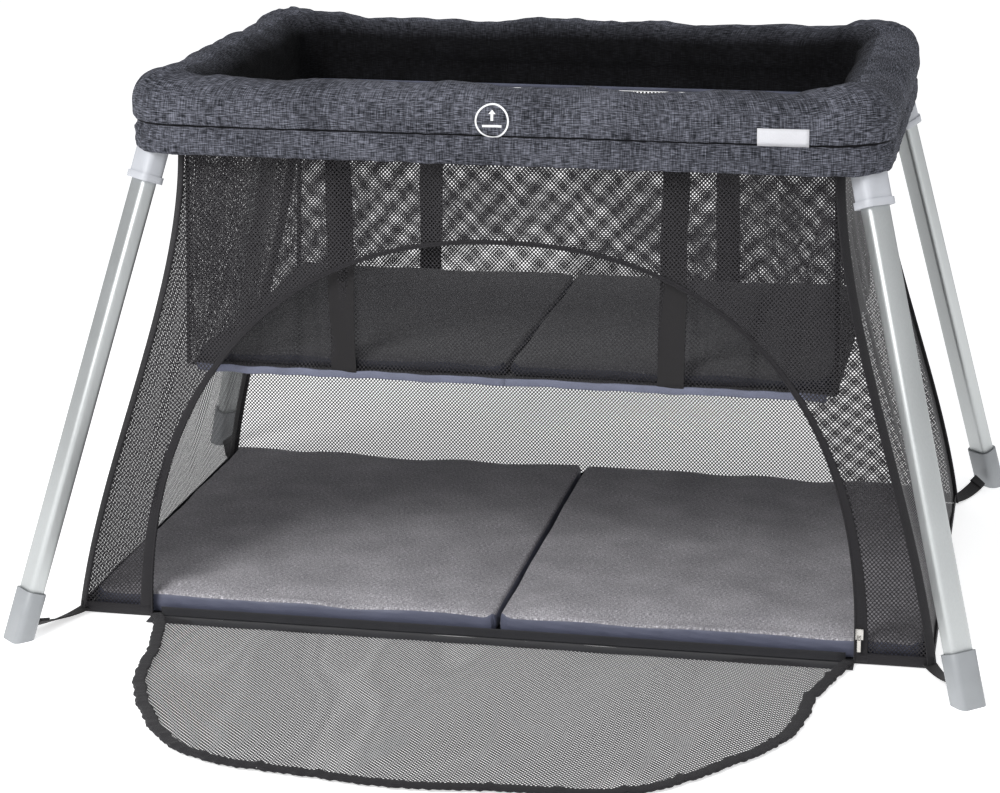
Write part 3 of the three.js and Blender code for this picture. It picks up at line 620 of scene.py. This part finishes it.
def cut_cover(ring, shape, section):
    """Cuts the ring into pieces that ride on the folding rail's bodies or stay fixed between them, with the
    ring's own normals at the cuts.
    """
    rows, columns = shape
    where = coordinates(ring).reshape(rows, columns, 3)
    normals = np.zeros(len(ring.data.vertices) * 3, np.float32)
    ring.data.vertices.foreach_get("normal", normals)
    normals = normals.reshape(rows, columns, 3)
    u = lengths(np.vstack([where[:, 0], where[:1, 0]]))
    v = lengths(np.vstack([where[0], where[0][:1]]))
    centre = where.mean(1)
    inner, z = section[:, 0] < -0.01, section[:, 1]
    slots = np.zeros(columns, int)
    # slot 1: the inner face and the underside, in the cloth with painted shade that darkens with depth
    slots[inner & (z < INSIDE_TOP)] = 1
    slots[inner & (z < BAND_TOP)] = 2
    slots[(z < 0.6125) & (section[:, 0] < 0.026)] = 1
    slots[int(np.argmin(np.abs(z - SEAM_Z) + (section[:, 0] < 0)))] = 3  # painted shade: the dark line of shade in the seam's groove

    def column_at(depth, x):
        straight = (np.sign(centre[:, 1]) == DEPTHS[depth]) & (np.abs(centre[:, 0]) < RAIL_X - 0.04)
        group = np.nonzero(straight)[0]
        return int(group[np.argmin(np.abs(centre[group, 0] - x))])

    f = {x: column_at("front", x) for at in COVER_CUTS for x in (-at, at)}
    b = {x: column_at("back", x) for at in COVER_CUTS for x in (-at, at)}
    pivot, half, lock = COVER_CUTS
    quarter, far_end = COVER_STEPS["end"] // 4, rows // 2
    outer, inner_ = CORNER_BEND[1], CORNER_BEND[0]
    near, far = LOCK_BEND
    parts = [
        ("cover_end_left", -quarter, quarter, ("left_end",)),
        ("cover_corner_front_left", quarter, f[-half], ("left_end", "front_left_half", -outer, -inner_)),
        ("cover_front_left", f[-half], f[-lock], ("front_left_half", "front_lock", -far, -near)),
        ("cover_front_lock", f[-lock], f[lock], ("front_lock",)),
        ("cover_front_right", f[lock], f[half], ("front_lock", "front_right_half", near, far)),
        ("cover_corner_front_right", f[half], far_end - quarter,
         ("front_right_half", "right_end", inner_, outer)),
        ("cover_end_right", far_end - quarter, far_end + quarter, ("right_end",)),
        ("cover_corner_back_right", far_end + quarter, b[pivot], ("right_end",)),
        ("cover_back_right_outer", b[pivot], b[half], ("back_right_half",)),
        ("cover_back_right", b[half], b[lock], ("back_lock", "back_right_half", near, far)),
        ("cover_back_lock", b[lock], b[-lock], ("back_lock",)),
        ("cover_back_left", b[-lock], b[-half], ("back_left_half", "back_lock", -far, -near)),
        ("cover_corner_back_left", b[-half], rows - quarter, ("left_end", "back_left_half", -outer, -inner_)),
    ]
    pieces = {}
    for name, first, last, follow in parts:
        index = np.arange(first, last + 1) % rows
        run = u[np.arange(first, last + 1) % rows] + (np.arange(first, last + 1) >= rows) * u[-1]
        run = run - (np.arange(first, last + 1) < 0) * u[-1]
        uv = np.stack(np.meshgrid(run, v, indexing="ij"), 2)
        piece = surface(name, where[index], [MELANGE_BLUE, INSIDE_PAINTED_SHADE, PIPING, SEAM_PAINTED_SHADE], uv=uv, wrap_columns=True,
                        column_slots=slots)
        piece.data.normals_split_custom_set_from_vertices(normals[index].reshape(-1, 3).tolist())
        follow_rail(piece, follow)
        pieces[name] = piece
    return pieces


def follow_rail(piece, follow):
    """Rides on one body; a piece between two bodies has its place baked into its mesh and stays where it is."""
    if len(follow) == 1:
        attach(piece, follow[0])
        return
    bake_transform(piece)


def build_cover():
    ring, shape, section = cover_ring()
    pieces = cut_cover(ring, shape, section)
    bpy.data.objects.remove(ring)
    nodes = {
        "cover_end_left": ["rail_cover_end_left"], "cover_end_right": ["rail_cover_end_right"],
        "cover_front_left": ["rail_cover_front_left"], "cover_front_right": ["rail_cover_front_right"],
        "cover_back_left": ["rail_cover_back_left"], "cover_back_right": ["rail_cover_back_right"],
    }
    for name, stands_for in nodes.items():
        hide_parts(*stands_for)
    return pieces


# ---------- mesh walls ----------
def arch_line(half, height, foot, count):
    """The door's outline as (x, z) points, from its left foot over the top to its right foot."""
    angle = np.linspace(math.pi, 0, 181)
    c, s = np.cos(angle), np.sin(angle)
    x = half * np.sign(c) * np.abs(c) ** (2 / DOOR_POWER)
    z = SILL + height * np.abs(s) ** (2 / DOOR_POWER)
    line = np.column_stack([x, z])
    return resample(np.vstack([[(-half, foot)], line, [(half, foot)]]), count)


def tent_outline(count):
    """A tent long wall's outer edge as (x, z) points: up the left side, along the top and down the right."""
    z = np.linspace(0.0026, WALL_TOP, 40)
    x = tent_at(z, "x") - 0.0012
    left = np.column_stack([-x, z])
    right = np.column_stack([x, z])[::-1]
    return resample(np.vstack([left, right]), count)


def on_tent(flat, sign):
    """Points (x, z) of a tent long wall, placed on its curved surface."""
    y = sign * tent_at(flat[..., 1], "y")
    return np.stack([flat[..., 0], y, flat[..., 1]], -1)


def fasten(piece, body):
    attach(piece, body)


def hang_on_rail(piece, depth, side):
    """A piece of cloth that hangs from a half of a long rail and rides on it, with a mesh of its own."""
    fasten(piece, f"{depth}_{side}_half")
    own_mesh(piece)


def pull_in(piece):
    """A piece on the floor, given a mesh of its own."""
    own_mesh(piece)


def tent_long_walls():
    """The front wall with its arched opening, and the back wall, each in two halves."""
    count, rows = 241, 24
    inner, outer = arch_line(DOOR_HALF, DOOR_HEIGHT, 0.0026, count), tent_outline(count)
    t = np.linspace(0, 1, rows)[:, None, None]
    flat = inner[None] * (1 - t) + outer[None] * t
    held = np.clip(4 * t[..., 0] * (1 - t[..., 0]), 0, 1)
    front = on_tent(flat, -1)
    folds = 0.004 * waves(flat[..., 0] / 0.12, flat[..., 1] / 0.8, 21) * held
    front[..., 1] += folds
    middle = count // 2
    for side, part in (("left", slice(0, middle + 1)), ("right", slice(middle, count))):
        wall = surface(f"tent_front_{side}", front[:, part], MESH, uv=flat[:, part])
        hang_on_rail(wall, "front", side)
        if side == "left":
            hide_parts("tent_wall_front")

    x_share, z = np.meshgrid(np.linspace(-1, 1, 161), np.linspace(0.0026, WALL_TOP, 60))
    x = x_share * (tent_at(z, "x") - 0.0012)
    back = on_tent(np.stack([x, z], -1), 1)
    rise = (z / WALL_TOP) * (1 - z / WALL_TOP) * 4
    smooth = back.copy()
    back[..., 1] += 0.004 * waves(x / 0.12, z / 0.8, 23) * rise
    for side, part in (("left", slice(0, 81)), ("right", slice(80, 161))):
        wall = surface(f"tent_back_{side}", back[:, part], MESH, uv=np.stack([x, z], -1)[:, part])
        hang_on_rail(wall, "back", side)
        if side == "left":
            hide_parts("tent_wall_back")


def tent_side_walls():
    for side, sign in SIDES.items():
        y_share, z = np.meshgrid(np.linspace(-1, 1, 90), np.linspace(0.0026, WALL_TOP, 60))
        y = y_share * (tent_at(z, "y") - 0.0006)
        x = sign * (tent_at(z, "x") - 0.0006)
        points = np.stack([x, y, z], -1)
        rise = (z / WALL_TOP) * (1 - z / WALL_TOP) * 4 * (1 - y_share**8)
        folded = points.copy()
        folded[..., 0] += sign * 0.0035 * waves(y / 0.12, z / 0.8, 31 + sign) * rise
        wall = surface(f"tent_{side}", folded, SIDE_MESH, uv=np.stack([y, z], -1))
        fasten(wall, f"{side}_end")
        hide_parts(f"tent_wall_{side}")


def bassinet_walls():
    z_line = np.linspace(BASSINET_FLOOR, WALL_TOP, 50)
    for depth, sign in DEPTHS.items():
        share, z = np.meshgrid(np.linspace(-1, 1, 201), z_line)
        x = share * (bassinet_at(z, "x") - 0.0012)
        y = sign * bassinet_at(z, "y")
        points = np.stack([x, y, z], -1)
        near_corner = bump(np.abs(share), 0.85, 0.35)
        rise = np.sqrt(np.clip((z - BASSINET_FLOOR) / (WALL_TOP - BASSINET_FLOOR), 0, 1))
        folded = points.copy()
        fold = 0.0085 * waves(x / 0.045, z / 0.5, 41 + sign) * near_corner
        fold += 0.0025 * waves(x / 0.11, z / 0.6, 43 + sign)
        folded[..., 1] += sign * np.clip(fold, -0.0085, 0.003) * np.clip(rise * 3, 0, 1) * (1 - share**16)
        for side, part in (("left", slice(0, 101)), ("right", slice(100, 201))):
            uv = np.stack([x, z], -1)[:, part]
            wall = surface(f"bassinet_{depth}_{side}", folded[:, part], BASSINET_MESH, uv=uv)
            hang_on_rail(wall, depth, side)
            if side == "left":
                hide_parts(f"bassinet_wall_{depth}")
    for side, sign in SIDES.items():
        share, z = np.meshgrid(np.linspace(-1, 1, 120), z_line)
        y = share * (bassinet_at(z, "y") - 0.0006)
        points = np.stack([sign * bassinet_at(z, "x"), y, z], -1)
        folded = points.copy()
        fold = 0.004 * waves(y / 0.07, z / 0.5, 51 + sign) * (1 - share**16)
        rise = np.clip((z - BASSINET_FLOOR) / 0.05, 0, 1)
        folded[..., 0] += sign * np.clip(fold, -0.006, 0.002) * rise
        wall = surface(f"bassinet_{side}", folded, MESH, uv=np.stack([y, z], -1))
        fasten(wall, f"{side}_end")
        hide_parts(f"bassinet_wall_{side}")


# ---------- bindings and tapes on the walls ----------
def corner_bindings():
    """Ribbed tape down the tent's and the bassinet's upright corners."""
    kinds = (("tent", tent_at, 0.003, 60, (BINDING, 0.003)),
             ("bassinet", bassinet_at, BASSINET_FLOOR, 30, (0.008, 0.002)))
    for depth, sy in DEPTHS.items():
        for side, sx in SIDES.items():
            for kind, half_at, foot, count, size in kinds:
                z = np.linspace(foot, WALL_TOP, count)
                line = np.column_stack([sx * half_at(z, "x"), sy * half_at(z, "y"), z])
                name = f"{kind}_corner_{depth}_{side}"
                fasten(sweep(name, line, (sx, -sy, 0), TAPE, flat_section(*size)), f"{side}_end")


def door_frame():
    """The tape and the zip's coil round the arch, in two halves."""
    count = 401
    edge = arch_line(DOOR_HALF, DOOR_HEIGHT, 0.004, count)
    middle = count // 2
    for side, part in (("left", slice(0, middle + 1)), ("right", slice(middle, count))):
        flat = edge[part]
        along = np.gradient(flat, axis=0)
        outward = unit(np.column_stack([-along[:, 1], along[:, 0]]))
        width = 0.006 + 0.012 * np.clip(1 - flat[:, 1] / 0.40, 0, 1)
        across = unit(on_tent(flat + outward * width[:, None], -1) - on_tent(flat, -1))
        same = np.ones(len(flat))
        wavy = 1 + 0.25 * np.sin(np.arange(len(flat)) * 2.1)
        for name, offset, half, thick in (("door_tape", width / 2, width / 2, 0.0016 * same),
                                          ("door_zip_coil", 0.0016 * same, 0.0013 * same, 0.0030 * wavy)):
            line = on_tent(flat + outward * offset[:, None], -1)
            line[:, 1] -= 0.0016
            up = unit(np.cross(across, unit(np.gradient(line, axis=0))))
            rows = [line + across * (a * half)[:, None] + up * (t * thick * 2)[:, None]
                    for a, t in flat_section(2.0, 0.5)]
            piece = surface(f"{name}_{side}", np.stack(rows, 1), TAPE, wrap_columns=True, caps=True)
            hang_on_rail(piece, "front", side)


def hems():
    """The black bands along the foot of each tent wall."""
    tall = 0.014

    def hem(name, line):
        return sweep(name, line, (0, 0, 1), TAPE, flat_section(tall, 0.002))

    for depth, sign in DEPTHS.items():
        inner = DOOR_HALF + 0.004 if depth == "front" else 0.0
        for side, x0, x1 in (("left", -TENT_FOOT["x"], 0 - inner), ("right", inner, TENT_FOOT["x"])):
            z = np.full(40, tall / 2 + 0.002)
            line = np.column_stack([np.linspace(x0, x1, 40), sign * (tent_at(z, "y") + 0.0012), z])
            hang_on_rail(hem(f"tent_hem_{depth}_{side}", line), depth, side)
    for side, sign in SIDES.items():
        y = np.linspace(-TENT_FOOT["y"], TENT_FOOT["y"], 60)
        z = np.full(60, tall / 2 + 0.002)
        line = np.column_stack([sign * (tent_at(z, "x") + 0.0012), y, z])
        fasten(hem(f"tent_hem_{side}", line), f"{side}_end")


# ---------- straps ----------
def bassinet_straps():
    """Webbing that carries the bassinet: down the front wall, under the floor and up the back wall."""
    below = strap_box[0].z + WEBBING / 2
    top = strap_box[1].z
    for side, sx in SIDES.items():
        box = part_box(f"bassinet_strap_{side}")
        x = (box[0].x + box[1].x) / 2
        width = box[1].x - box[0].x
        section = flat_section(width, WEBBING)
        for depth, sy in DEPTHS.items():
            z = np.linspace(top, below + 0.004, 40)
            y = sy * (bassinet_at(z, "y") + 0.0012)
            lean = x + 0.004 * sx * sy * (top - z) / (top - below)
            lean += 0.0005 * waves(z / 0.15, 0 * z, 61 + sx + 3 * sy)
            line = np.column_stack([lean, y, z])
            across = np.column_stack([np.ones(40), 0.08 * waves(z / 0.15, 0 * z, 65 + sx), np.zeros(40)])
            strap = sweep(f"bassinet_strap_{depth}_{side}", line, across, WEBBING_LOOK, section)
            hang_on_rail(strap, depth, side)
        y = np.linspace(box[0].y + 0.0007, box[1].y - 0.0007, 60)
        edge = np.abs(y) > box[1].y - 0.003
        z = np.where(edge, below + 0.003, below)
        line = np.column_stack([np.full(60, x), y, z])
        under = sweep(f"bassinet_strap_under_{side}", line, (1, 0, 0), WEBBING_LOOK, section)
        fasten(under, "left_end")
        pull_in(under)
        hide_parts(f"bassinet_strap_{side}")


def foot_straps():
    """Webbing from each corner of the tent's floor to the foot cap beside it, folded back at the foot."""
    for depth, sy in DEPTHS.items():
        for side, sx in SIDES.items():
            name = f"foot_strap_{depth}_{side}"
            cap_low, cap_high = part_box(f"foot_cap_{depth}_{side}")
            tent = np.array([sx * (TENT_FOOT["x"] - 0.004), sy * (TENT_FOOT["y"] - 0.004)])
            foot = np.array([(cap_low.x + cap_high.x) / 2, (cap_low.y + cap_high.y) / 2])
            ahead = unit(foot - tent)
            reach = float(np.linalg.norm(foot - tent)) - 0.020
            t = np.linspace(0, 1, 30)
            z = 0.006 + 0.006 * t**2 - 0.010 * t * (1 - t)
            line = np.column_stack([tent[0] + ahead[0] * reach * t, tent[1] + ahead[1] * reach * t, z])
            twist = np.radians(35 * t)
            flat = np.array([-ahead[1], ahead[0], 0.0])
            across = flat * np.cos(twist)[:, None] + UP * np.sin(twist)[:, None] * sx * sy
            strap = sweep(f"webbing_foot_{depth}_{side}", line, across, WEBBING_LOOK,
                          flat_section(0.019, 0.0018))
            fasten(strap, f"{side}_end")
            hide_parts(name)
            fold = line[-6:] + UP * 0.0022
            keeper = sweep(f"webbing_foot_fold_{depth}_{side}", fold, across[-6:], WEBBING_LOOK,
                           flat_section(0.020, 0.0022))
            fasten(keeper, f"{side}_end")


# ---------- floors ----------
def floors():
    for name, node, box, keep, held, rests_on in (
            ("floor_sheet", "tent_floor", floor_box, FOLDED["floor"], "laid", "foot_cap_front_left"),
            ("bassinet_floor_sheet", "bassinet_floor", bassinet_floor_box, FOLDED["upper"], "stretched",
             "bassinet_strap_left")):
        low, high = box
        x, y = np.meshgrid(np.linspace(low.x, high.x, 60), np.linspace(low.y, high.y, 40), indexing="ij")
        z = np.full(x.shape, (low.z + high.z) / 2) + 0.0005 * waves(x / 0.2, y / 0.2, 71)
        sheet = surface(name, np.stack([x, y, z], -1), FLOOR_CLOTH, uv=np.stack([x, y], -1))
        fasten(sheet, "left_end")
        pull_in(sheet)
        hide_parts(node)


# ---------- mattresses ----------
def rounded_rectangle(u, v, half_x, half_y, radius):
    """Points of a rectangle's grid moved so that its corners are round."""
    x, y = u * half_x, v * half_y
    inner_x = np.clip(x, -(half_x - radius), half_x - radius)
    inner_y = np.clip(y, -(half_y - radius), half_y - radius)
    dx, dy = x - inner_x, y - inner_y
    far = np.hypot(dx, dy)
    scale = np.where(far > 1e-9, np.maximum(np.abs(dx), np.abs(dy)) / np.maximum(far, 1e-9), 0)
    return inner_x + dx * scale, inner_y + dy * scale


def edge_spacing(half):
    """Grid places from -1 to 1, close together at both ends."""
    close = np.cumsum([0, 0.0008, 0.0016, 0.0026, 0.004, 0.006])
    count = max(2, round((2 * half - 2 * close[-1]) / 0.012))
    middle = np.linspace(-half + close[-1], half - close[-1], count + 1)
    return np.concatenate([-half + close[:-1], middle, half - close[:-1][::-1]]) / half


def mattress(name, box, looks, seed):
    """A foam half mattress: a soft crowned top over a side band, with a seam between them."""
    low, high = (np.array(v) for v in box)
    centre, half = (low + high) / 2, (high - low) / 2 - np.array([SWELL, SWELL, 0.0])
    u, v = np.meshgrid(edge_spacing(half[0]), edge_spacing(half[1]), indexing="ij")
    x, y = rounded_rectangle(u, v, half[0], half[1], MATTRESS_CORNER)
    inside = np.minimum(half[0] - np.abs(x), half[1] - np.abs(y))
    turned = np.clip(MATTRESS_ROUND - inside, 0, MATTRESS_ROUND)
    drop = MATTRESS_ROUND - np.sqrt(np.clip(MATTRESS_ROUND**2 - turned**2, 0, None))
    swell = MATTRESS_CROWN * (1 - np.exp(-inside / 0.030)) + 0.0012 * waves(x / 0.22, y / 0.22, seed)
    top = np.stack([x, y, half[2] - drop + swell - MATTRESS_CROWN], -1)
    bottom = np.stack([x, y, -half[2] + drop * 0.6], -1)
    n, m = x.shape
    rim = [(i, 0) for i in range(n)] + [(n - 1, j) for j in range(1, m)]
    rim += [(i, m - 1) for i in range(n - 2, -1, -1)] + [(0, j) for j in range(m - 2, 0, -1)]
    rim = tuple(np.array(rim).T)
    around = len(rim[0])

    t = np.linspace(0, 1, BAND_LEVELS + 2)[1:-1, None]
    band = top[rim] * (1 - t[..., None]) + bottom[rim] * t[..., None]
    outward = unit(np.column_stack([x[rim] / half[0], y[rim] / half[1]]) ** 9)
    belly = 0.0018 * np.sin(math.pi * t) + 0.0012 * bump(t, 0.06, 0.05)
    pucker = 0.0006 * waves(np.arange(around)[None] / 2.5, t * 1.5, seed + 1)
    band[..., :2] += outward * (belly + pucker)[..., None]
    vertices = np.vstack([part.reshape(-1, 3) for part in (top, band, bottom)]) + centre

    upper = numbered(n, m)
    lower = upper + n * m + BAND_LEVELS * around
    ring = np.vstack([upper[rim], n * m + numbered(BAND_LEVELS, around), lower[rim]])
    sides = quads(closed(ring, 1))
    lids = np.stack([quads(upper), quads(lower)[:, ::-1]], 1).reshape(-1, 4)
    lid_uvs = (np.stack([x, y], -1) + centre[:2]).reshape(-1, 2)
    lid_uvs = lid_uvs[np.stack([quads(upper), quads(upper)[:, ::-1]], 1).ravel()]
    run = lengths(closed(top[rim], 0))
    side_uvs = np.stack(np.meshgrid(run, 0.003 * np.arange(BAND_LEVELS + 2)), -1)
    slots = np.concatenate([np.tile([0, 1], len(lids) // 2), np.ones(len(sides), int)])
    uvs = np.vstack([lid_uvs, corner_uvs(side_uvs)])
    piece = new_piece(name, vertices, np.vstack([lids, sides]).tolist(), uvs, looks, slots)
    start = coordinates(piece)
    held = (start[:, 2] < centre[2] + half[2] - 0.008) | (np.abs(start[:, 0] - centre[0]) > half[0] - 0.004)
    inflate(piece, held, pressure=1.2, cap=0.003, frames=12)
    return piece


def mattresses():
    for level, looks, foot, slot in (
            ("lower", (MATTRESS_TOP, MATTRESS_SIDE), TENT_FOOT["x"], "mattress_fabric"),
            ("upper", (UPPER_TOP, NAVY), BASSINET_FOOT["x"], "bassinet_mattress_fabric")):
        for side in SIDES:
            node = f"{level}_mattress_{side}"
            half = mattress(f"{level}_cushion_{side}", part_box(node), looks, 81 + len(side))
            fasten(half, "left_end" if side == "left" else f"{level}_mattress_fold")
            pull_in(half)
            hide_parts(node)


# ---------- the door flap, lying open on the floor ----------
def flap_edge(count):
    """The flap's outline on the floor as (x, y), a little uneven where its binding pulls."""
    length = flap_box[1].y - flap_box[0].y - FLAP_SHORT
    angle = np.linspace(math.pi, 0, 361)
    c, s = np.cos(angle), np.sin(angle)
    out = length * np.abs(s) ** (2 / FLAP_POWER)
    side = flap_box[1].x * np.sign(c) * np.abs(c) ** (2 / FLAP_POWER)
    drawn_in = FLAP_DRAWN_IN * np.clip(out / 0.13, 0, 1) ** 0.7
    line = resample(np.column_stack([side * (1 - drawn_in), out]), count)
    t = np.linspace(0, 1, count)
    uneven = 0.007 * waves(t / 0.09, 0 * t, 91) * np.sin(math.pi * t) ** 0.5
    along = np.gradient(line, axis=0)
    outward = unit(np.column_stack([-along[:, 1], along[:, 0]]))
    line = line + outward * uneven[:, None]
    return np.column_stack([line[:, 0], flap_box[1].y - np.maximum(line[:, 1], 0)])


def door_flap():
    count, rows = 161, 40
    edge = flap_edge(count)
    half, back = flap_box[1].x, flap_box[1].y
    hinge = np.column_stack([np.linspace(-half, half, count), np.full(count, back)])
    t = np.linspace(0, 1, rows)[:, None, None]
    flat = hinge[None] * (1 - t) + edge[None] * t
    x, y = flat[..., 0], flat[..., 1]
    rise = np.clip(t[..., 0] * (1 - t[..., 0]) * 4, 0, 1)
    z = 0.0022 + (0.0035 + 0.0035 * waves(x / 0.16, y / 0.5, 95)) * rise
    points = np.stack([x, y, np.maximum(z, 0.0015)], -1)
    panel = surface("flap_mesh", points, FLAP_MESH, uv=flat)
    follow_door(panel)
    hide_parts("door_flap")
    line = np.column_stack([edge, np.full(count, 0.004)])
    line = resample(line, 401)
    k = np.arange(401)
    along = unit(np.gradient(line, axis=0))
    side = np.column_stack([along[:, 1], -along[:, 0], np.zeros(401)])
    pucker = 0.0010 * waves(k / 5.0, 0 * k, 97)
    line[:, 2] += 0.0006 + np.abs(pucker)
    line += side * (pucker[:, None] - 0.003)
    rim = sweep("flap_binding", line, side, TAPE, flat_section(0.015, 0.0034))
    follow_door(rim)
    coil_line = line + side * 0.0072
    coil_line[:, 2] = 0.0042 + 0.0006 * np.sin(k * 2.1)
    coil = sweep("flap_zip_coil", coil_line, side, TAPE, flat_section(0.0026, 0.002))
    follow_door(coil)
    x = np.linspace(-half - 0.004, half + 0.004, 80)
    line = np.column_stack([x, np.full(80, back - 0.012), 0.0027 + 0.0002 * waves(x / 0.09, 0 * x, 99)])
    hinge_band = sweep("flap_hinge_band", line, (0, 1, 0), FLOOR_CLOTH, flat_section(0.022, 0.0016))
    follow_door(hinge_band)


def follow_door(piece):
    fasten(piece, "door")
    pull_in(piece)


def sill():
    """The dark upstand of the floor tray behind the door's hinge."""
    x = np.linspace(-DOOR_HALF + 0.010, DOOR_HALF - 0.010, 80)
    z = np.full(80, 0.008)
    line = np.column_stack([x, -(tent_at(z, "y") - 0.0020), z])
    band = sweep("door_sill", line, (0, 0, 1), FLOOR_CLOTH, flat_section(0.012, 0.002))
    fasten(band, "left_end")
    pull_in(band)


def bassinet_piping():
    """The grey-blue binding sewn round the bottom of the bassinet."""
    z = BASSINET_FLOOR - 0.0045
    for depth, sign in DEPTHS.items():
        for side, sx in SIDES.items():
            x = np.linspace(0, sx * (BASSINET_FOOT["x"] - 0.012), 60)
            y = sign * (BASSINET_FOOT["y"] + 0.0006)
            line = np.column_stack([x, np.full(60, y), z + 0.0006 * waves(x / 0.08, 0 * x, 101)])
            name = f"bassinet_binding_{depth}_{side}"
            strip = sweep(name, line, (0, 0, 1), PIPING, flat_section(0.010, 0.003))
            hang_on_rail(strip, depth, side)


# ---------- what is sewn or printed on the cover ----------
def tree_of(piece):
    return BVHTree.FromObject(piece, bpy.context.evaluated_depsgraph_get())


def on_cover(tree, x, z, lift):
    """The cover's outer face at a place on its front, moved out by lift."""
    hit, normal, _, _ = tree.ray_cast(Vector((x, -1.0, z)), Vector((0, 1, 0)))
    outward = normal if normal.y < 0 else -normal
    return np.array(hit) + np.array(outward) * lift


def printed(name, tree, grid, look, lift=0.0006):
    points = np.array([[on_cover(tree, x, z, lift) for x, z in row] for row in grid])
    return surface(name, points, look, uv=np.array(grid))


def round_mark(cover):
    """The printed ring that shows where to press: a ring, an arrow that points up and a plain bar."""
    tree = tree_of(cover)
    cx, cz, radius, line = MARK_X, 0.667, 0.021, 0.0022
    angles = np.linspace(0, 2 * math.pi, 73)
    ring = [[(cx + r * math.cos(a), cz + r * math.sin(a)) for a in angles] for r in (radius - line, radius)]
    shaft = [[(cx + x, cz + z) for x in (-0.0017, 0.0017)] for z in (0.0005, 0.0045, 0.0085)]
    head = [[(cx - w, cz + z), (cx + w, cz + z)]
            for z, w in ((0.0085, 0.0046), (0.0108, 0.0024), (0.0135, 0.0001))]
    bar = [[(cx + x, cz + z) for x in np.linspace(-0.012, 0.012, 9)] for z in (-0.0075, -0.0045)]
    for name, grid in (("ring", ring), ("arrow_shaft", shaft), ("arrow_head", head), ("bar", bar)):
        fasten(printed(f"mark_{name}", tree, grid, PRINT), "front_lock")


def sewn_label(cover):
    """A blank cloth label sewn to the right end of the front cover."""
    tree = tree_of(cover)
    xs, zs = np.linspace(0.320, 0.320 + LABEL[0], 12), np.linspace(0.648, 0.648 + LABEL[1], 5)
    piece = printed("sewn_label", tree, [[(x, z) for x in xs] for z in zs], WHITE_CLOTH, lift=0.0012)
    thicken = piece.modifiers.new("Solidify", "SOLIDIFY")
    thicken.thickness = 0.0006
    fasten(piece, "front_right_half")


# ---------- light, floor and camera ----------
def studio():
    floor_look = Look("studio_floor", colour=(0.95, 0.95, 0.95), roughness=0.9, Emission_Strength=0.60)
    floor_look.shader.inputs["Emission Color"].default_value = (1, 1, 1, 1)
    mesh = bpy.data.meshes.new("studio_floor")
    mesh.from_pydata([(-30, -30, 0), (30, -30, 0), (30, 30, 0), (-30, 30, 0)], [], [(0, 1, 2, 3)])
    mesh.materials.append(floor_look.material)
    floor = bpy.data.objects.new("studio_floor", mesh)
    bpy.context.scene.collection.objects.link(floor)
    world = bpy.data.worlds.new("studio")
    world.use_nodes = True
    world.node_tree.nodes["Background"].inputs["Color"].default_value = (0.97, 0.98, 1.0, 1)
    world.node_tree.nodes["Background"].inputs["Strength"].default_value = 0.46
    bpy.context.scene.world = world
    for name, place, size, power in (("key", (-1.5, -3.0, 2.4), 1.6, 95), ("fill", (2.6, -1.6, 1.8), 1.6, 6),
                                     ("top", (0.2, -0.6, 3.4), 2.0, 14)):
        light = bpy.data.lights.new(name, "AREA")
        light.size = size
        light.energy = power
        lamp = bpy.data.objects.new(name, light)
        lamp.location = place
        lamp.rotation_euler = (Vector((0, 0, 0.35)) - Vector(place)).to_track_quat("-Z", "Y").to_euler()
        bpy.context.scene.collection.objects.link(lamp)


def camera():
    """The photograph's point of view: right of the middle, above the rail, looking a little left and down."""
    yaw, pitch, roll = math.radians(-11.42), math.radians(-15.54), 0.0032
    ahead = np.array([math.sin(yaw) * math.cos(pitch), math.cos(yaw) * math.cos(pitch), math.sin(pitch)])
    right = np.array([math.cos(yaw), -math.sin(yaw), 0.0])
    up = np.cross(right, ahead)
    turned_right = math.cos(roll) * right - math.sin(roll) * up
    turned_up = math.sin(roll) * right + math.cos(roll) * up
    data = bpy.data.cameras.new("camera")
    data.lens = 99.3
    data.sensor_width = 36
    shot = bpy.data.objects.new("camera", data)
    axes = Matrix([turned_right, turned_up, -ahead]).transposed()
    shot.matrix_world = Matrix.Translation((0.6623, -3.5830, 1.2422)) @ axes.to_4x4()
    bpy.context.scene.collection.objects.link(shot)
    bpy.context.scene.camera = shot
    bpy.context.scene.view_settings.view_transform = "Standard"


camera()
studio()
dress_frame()
covers = build_cover()
tent_long_walls()
tent_side_walls()
bassinet_walls()
corner_bindings()
door_frame()
hems()
bassinet_straps()
foot_straps()
floors()
sill()
mattresses()
door_flap()
bassinet_piping()
round_mark(covers["cover_front_lock"])
sewn_label(covers["cover_corner_front_right"])
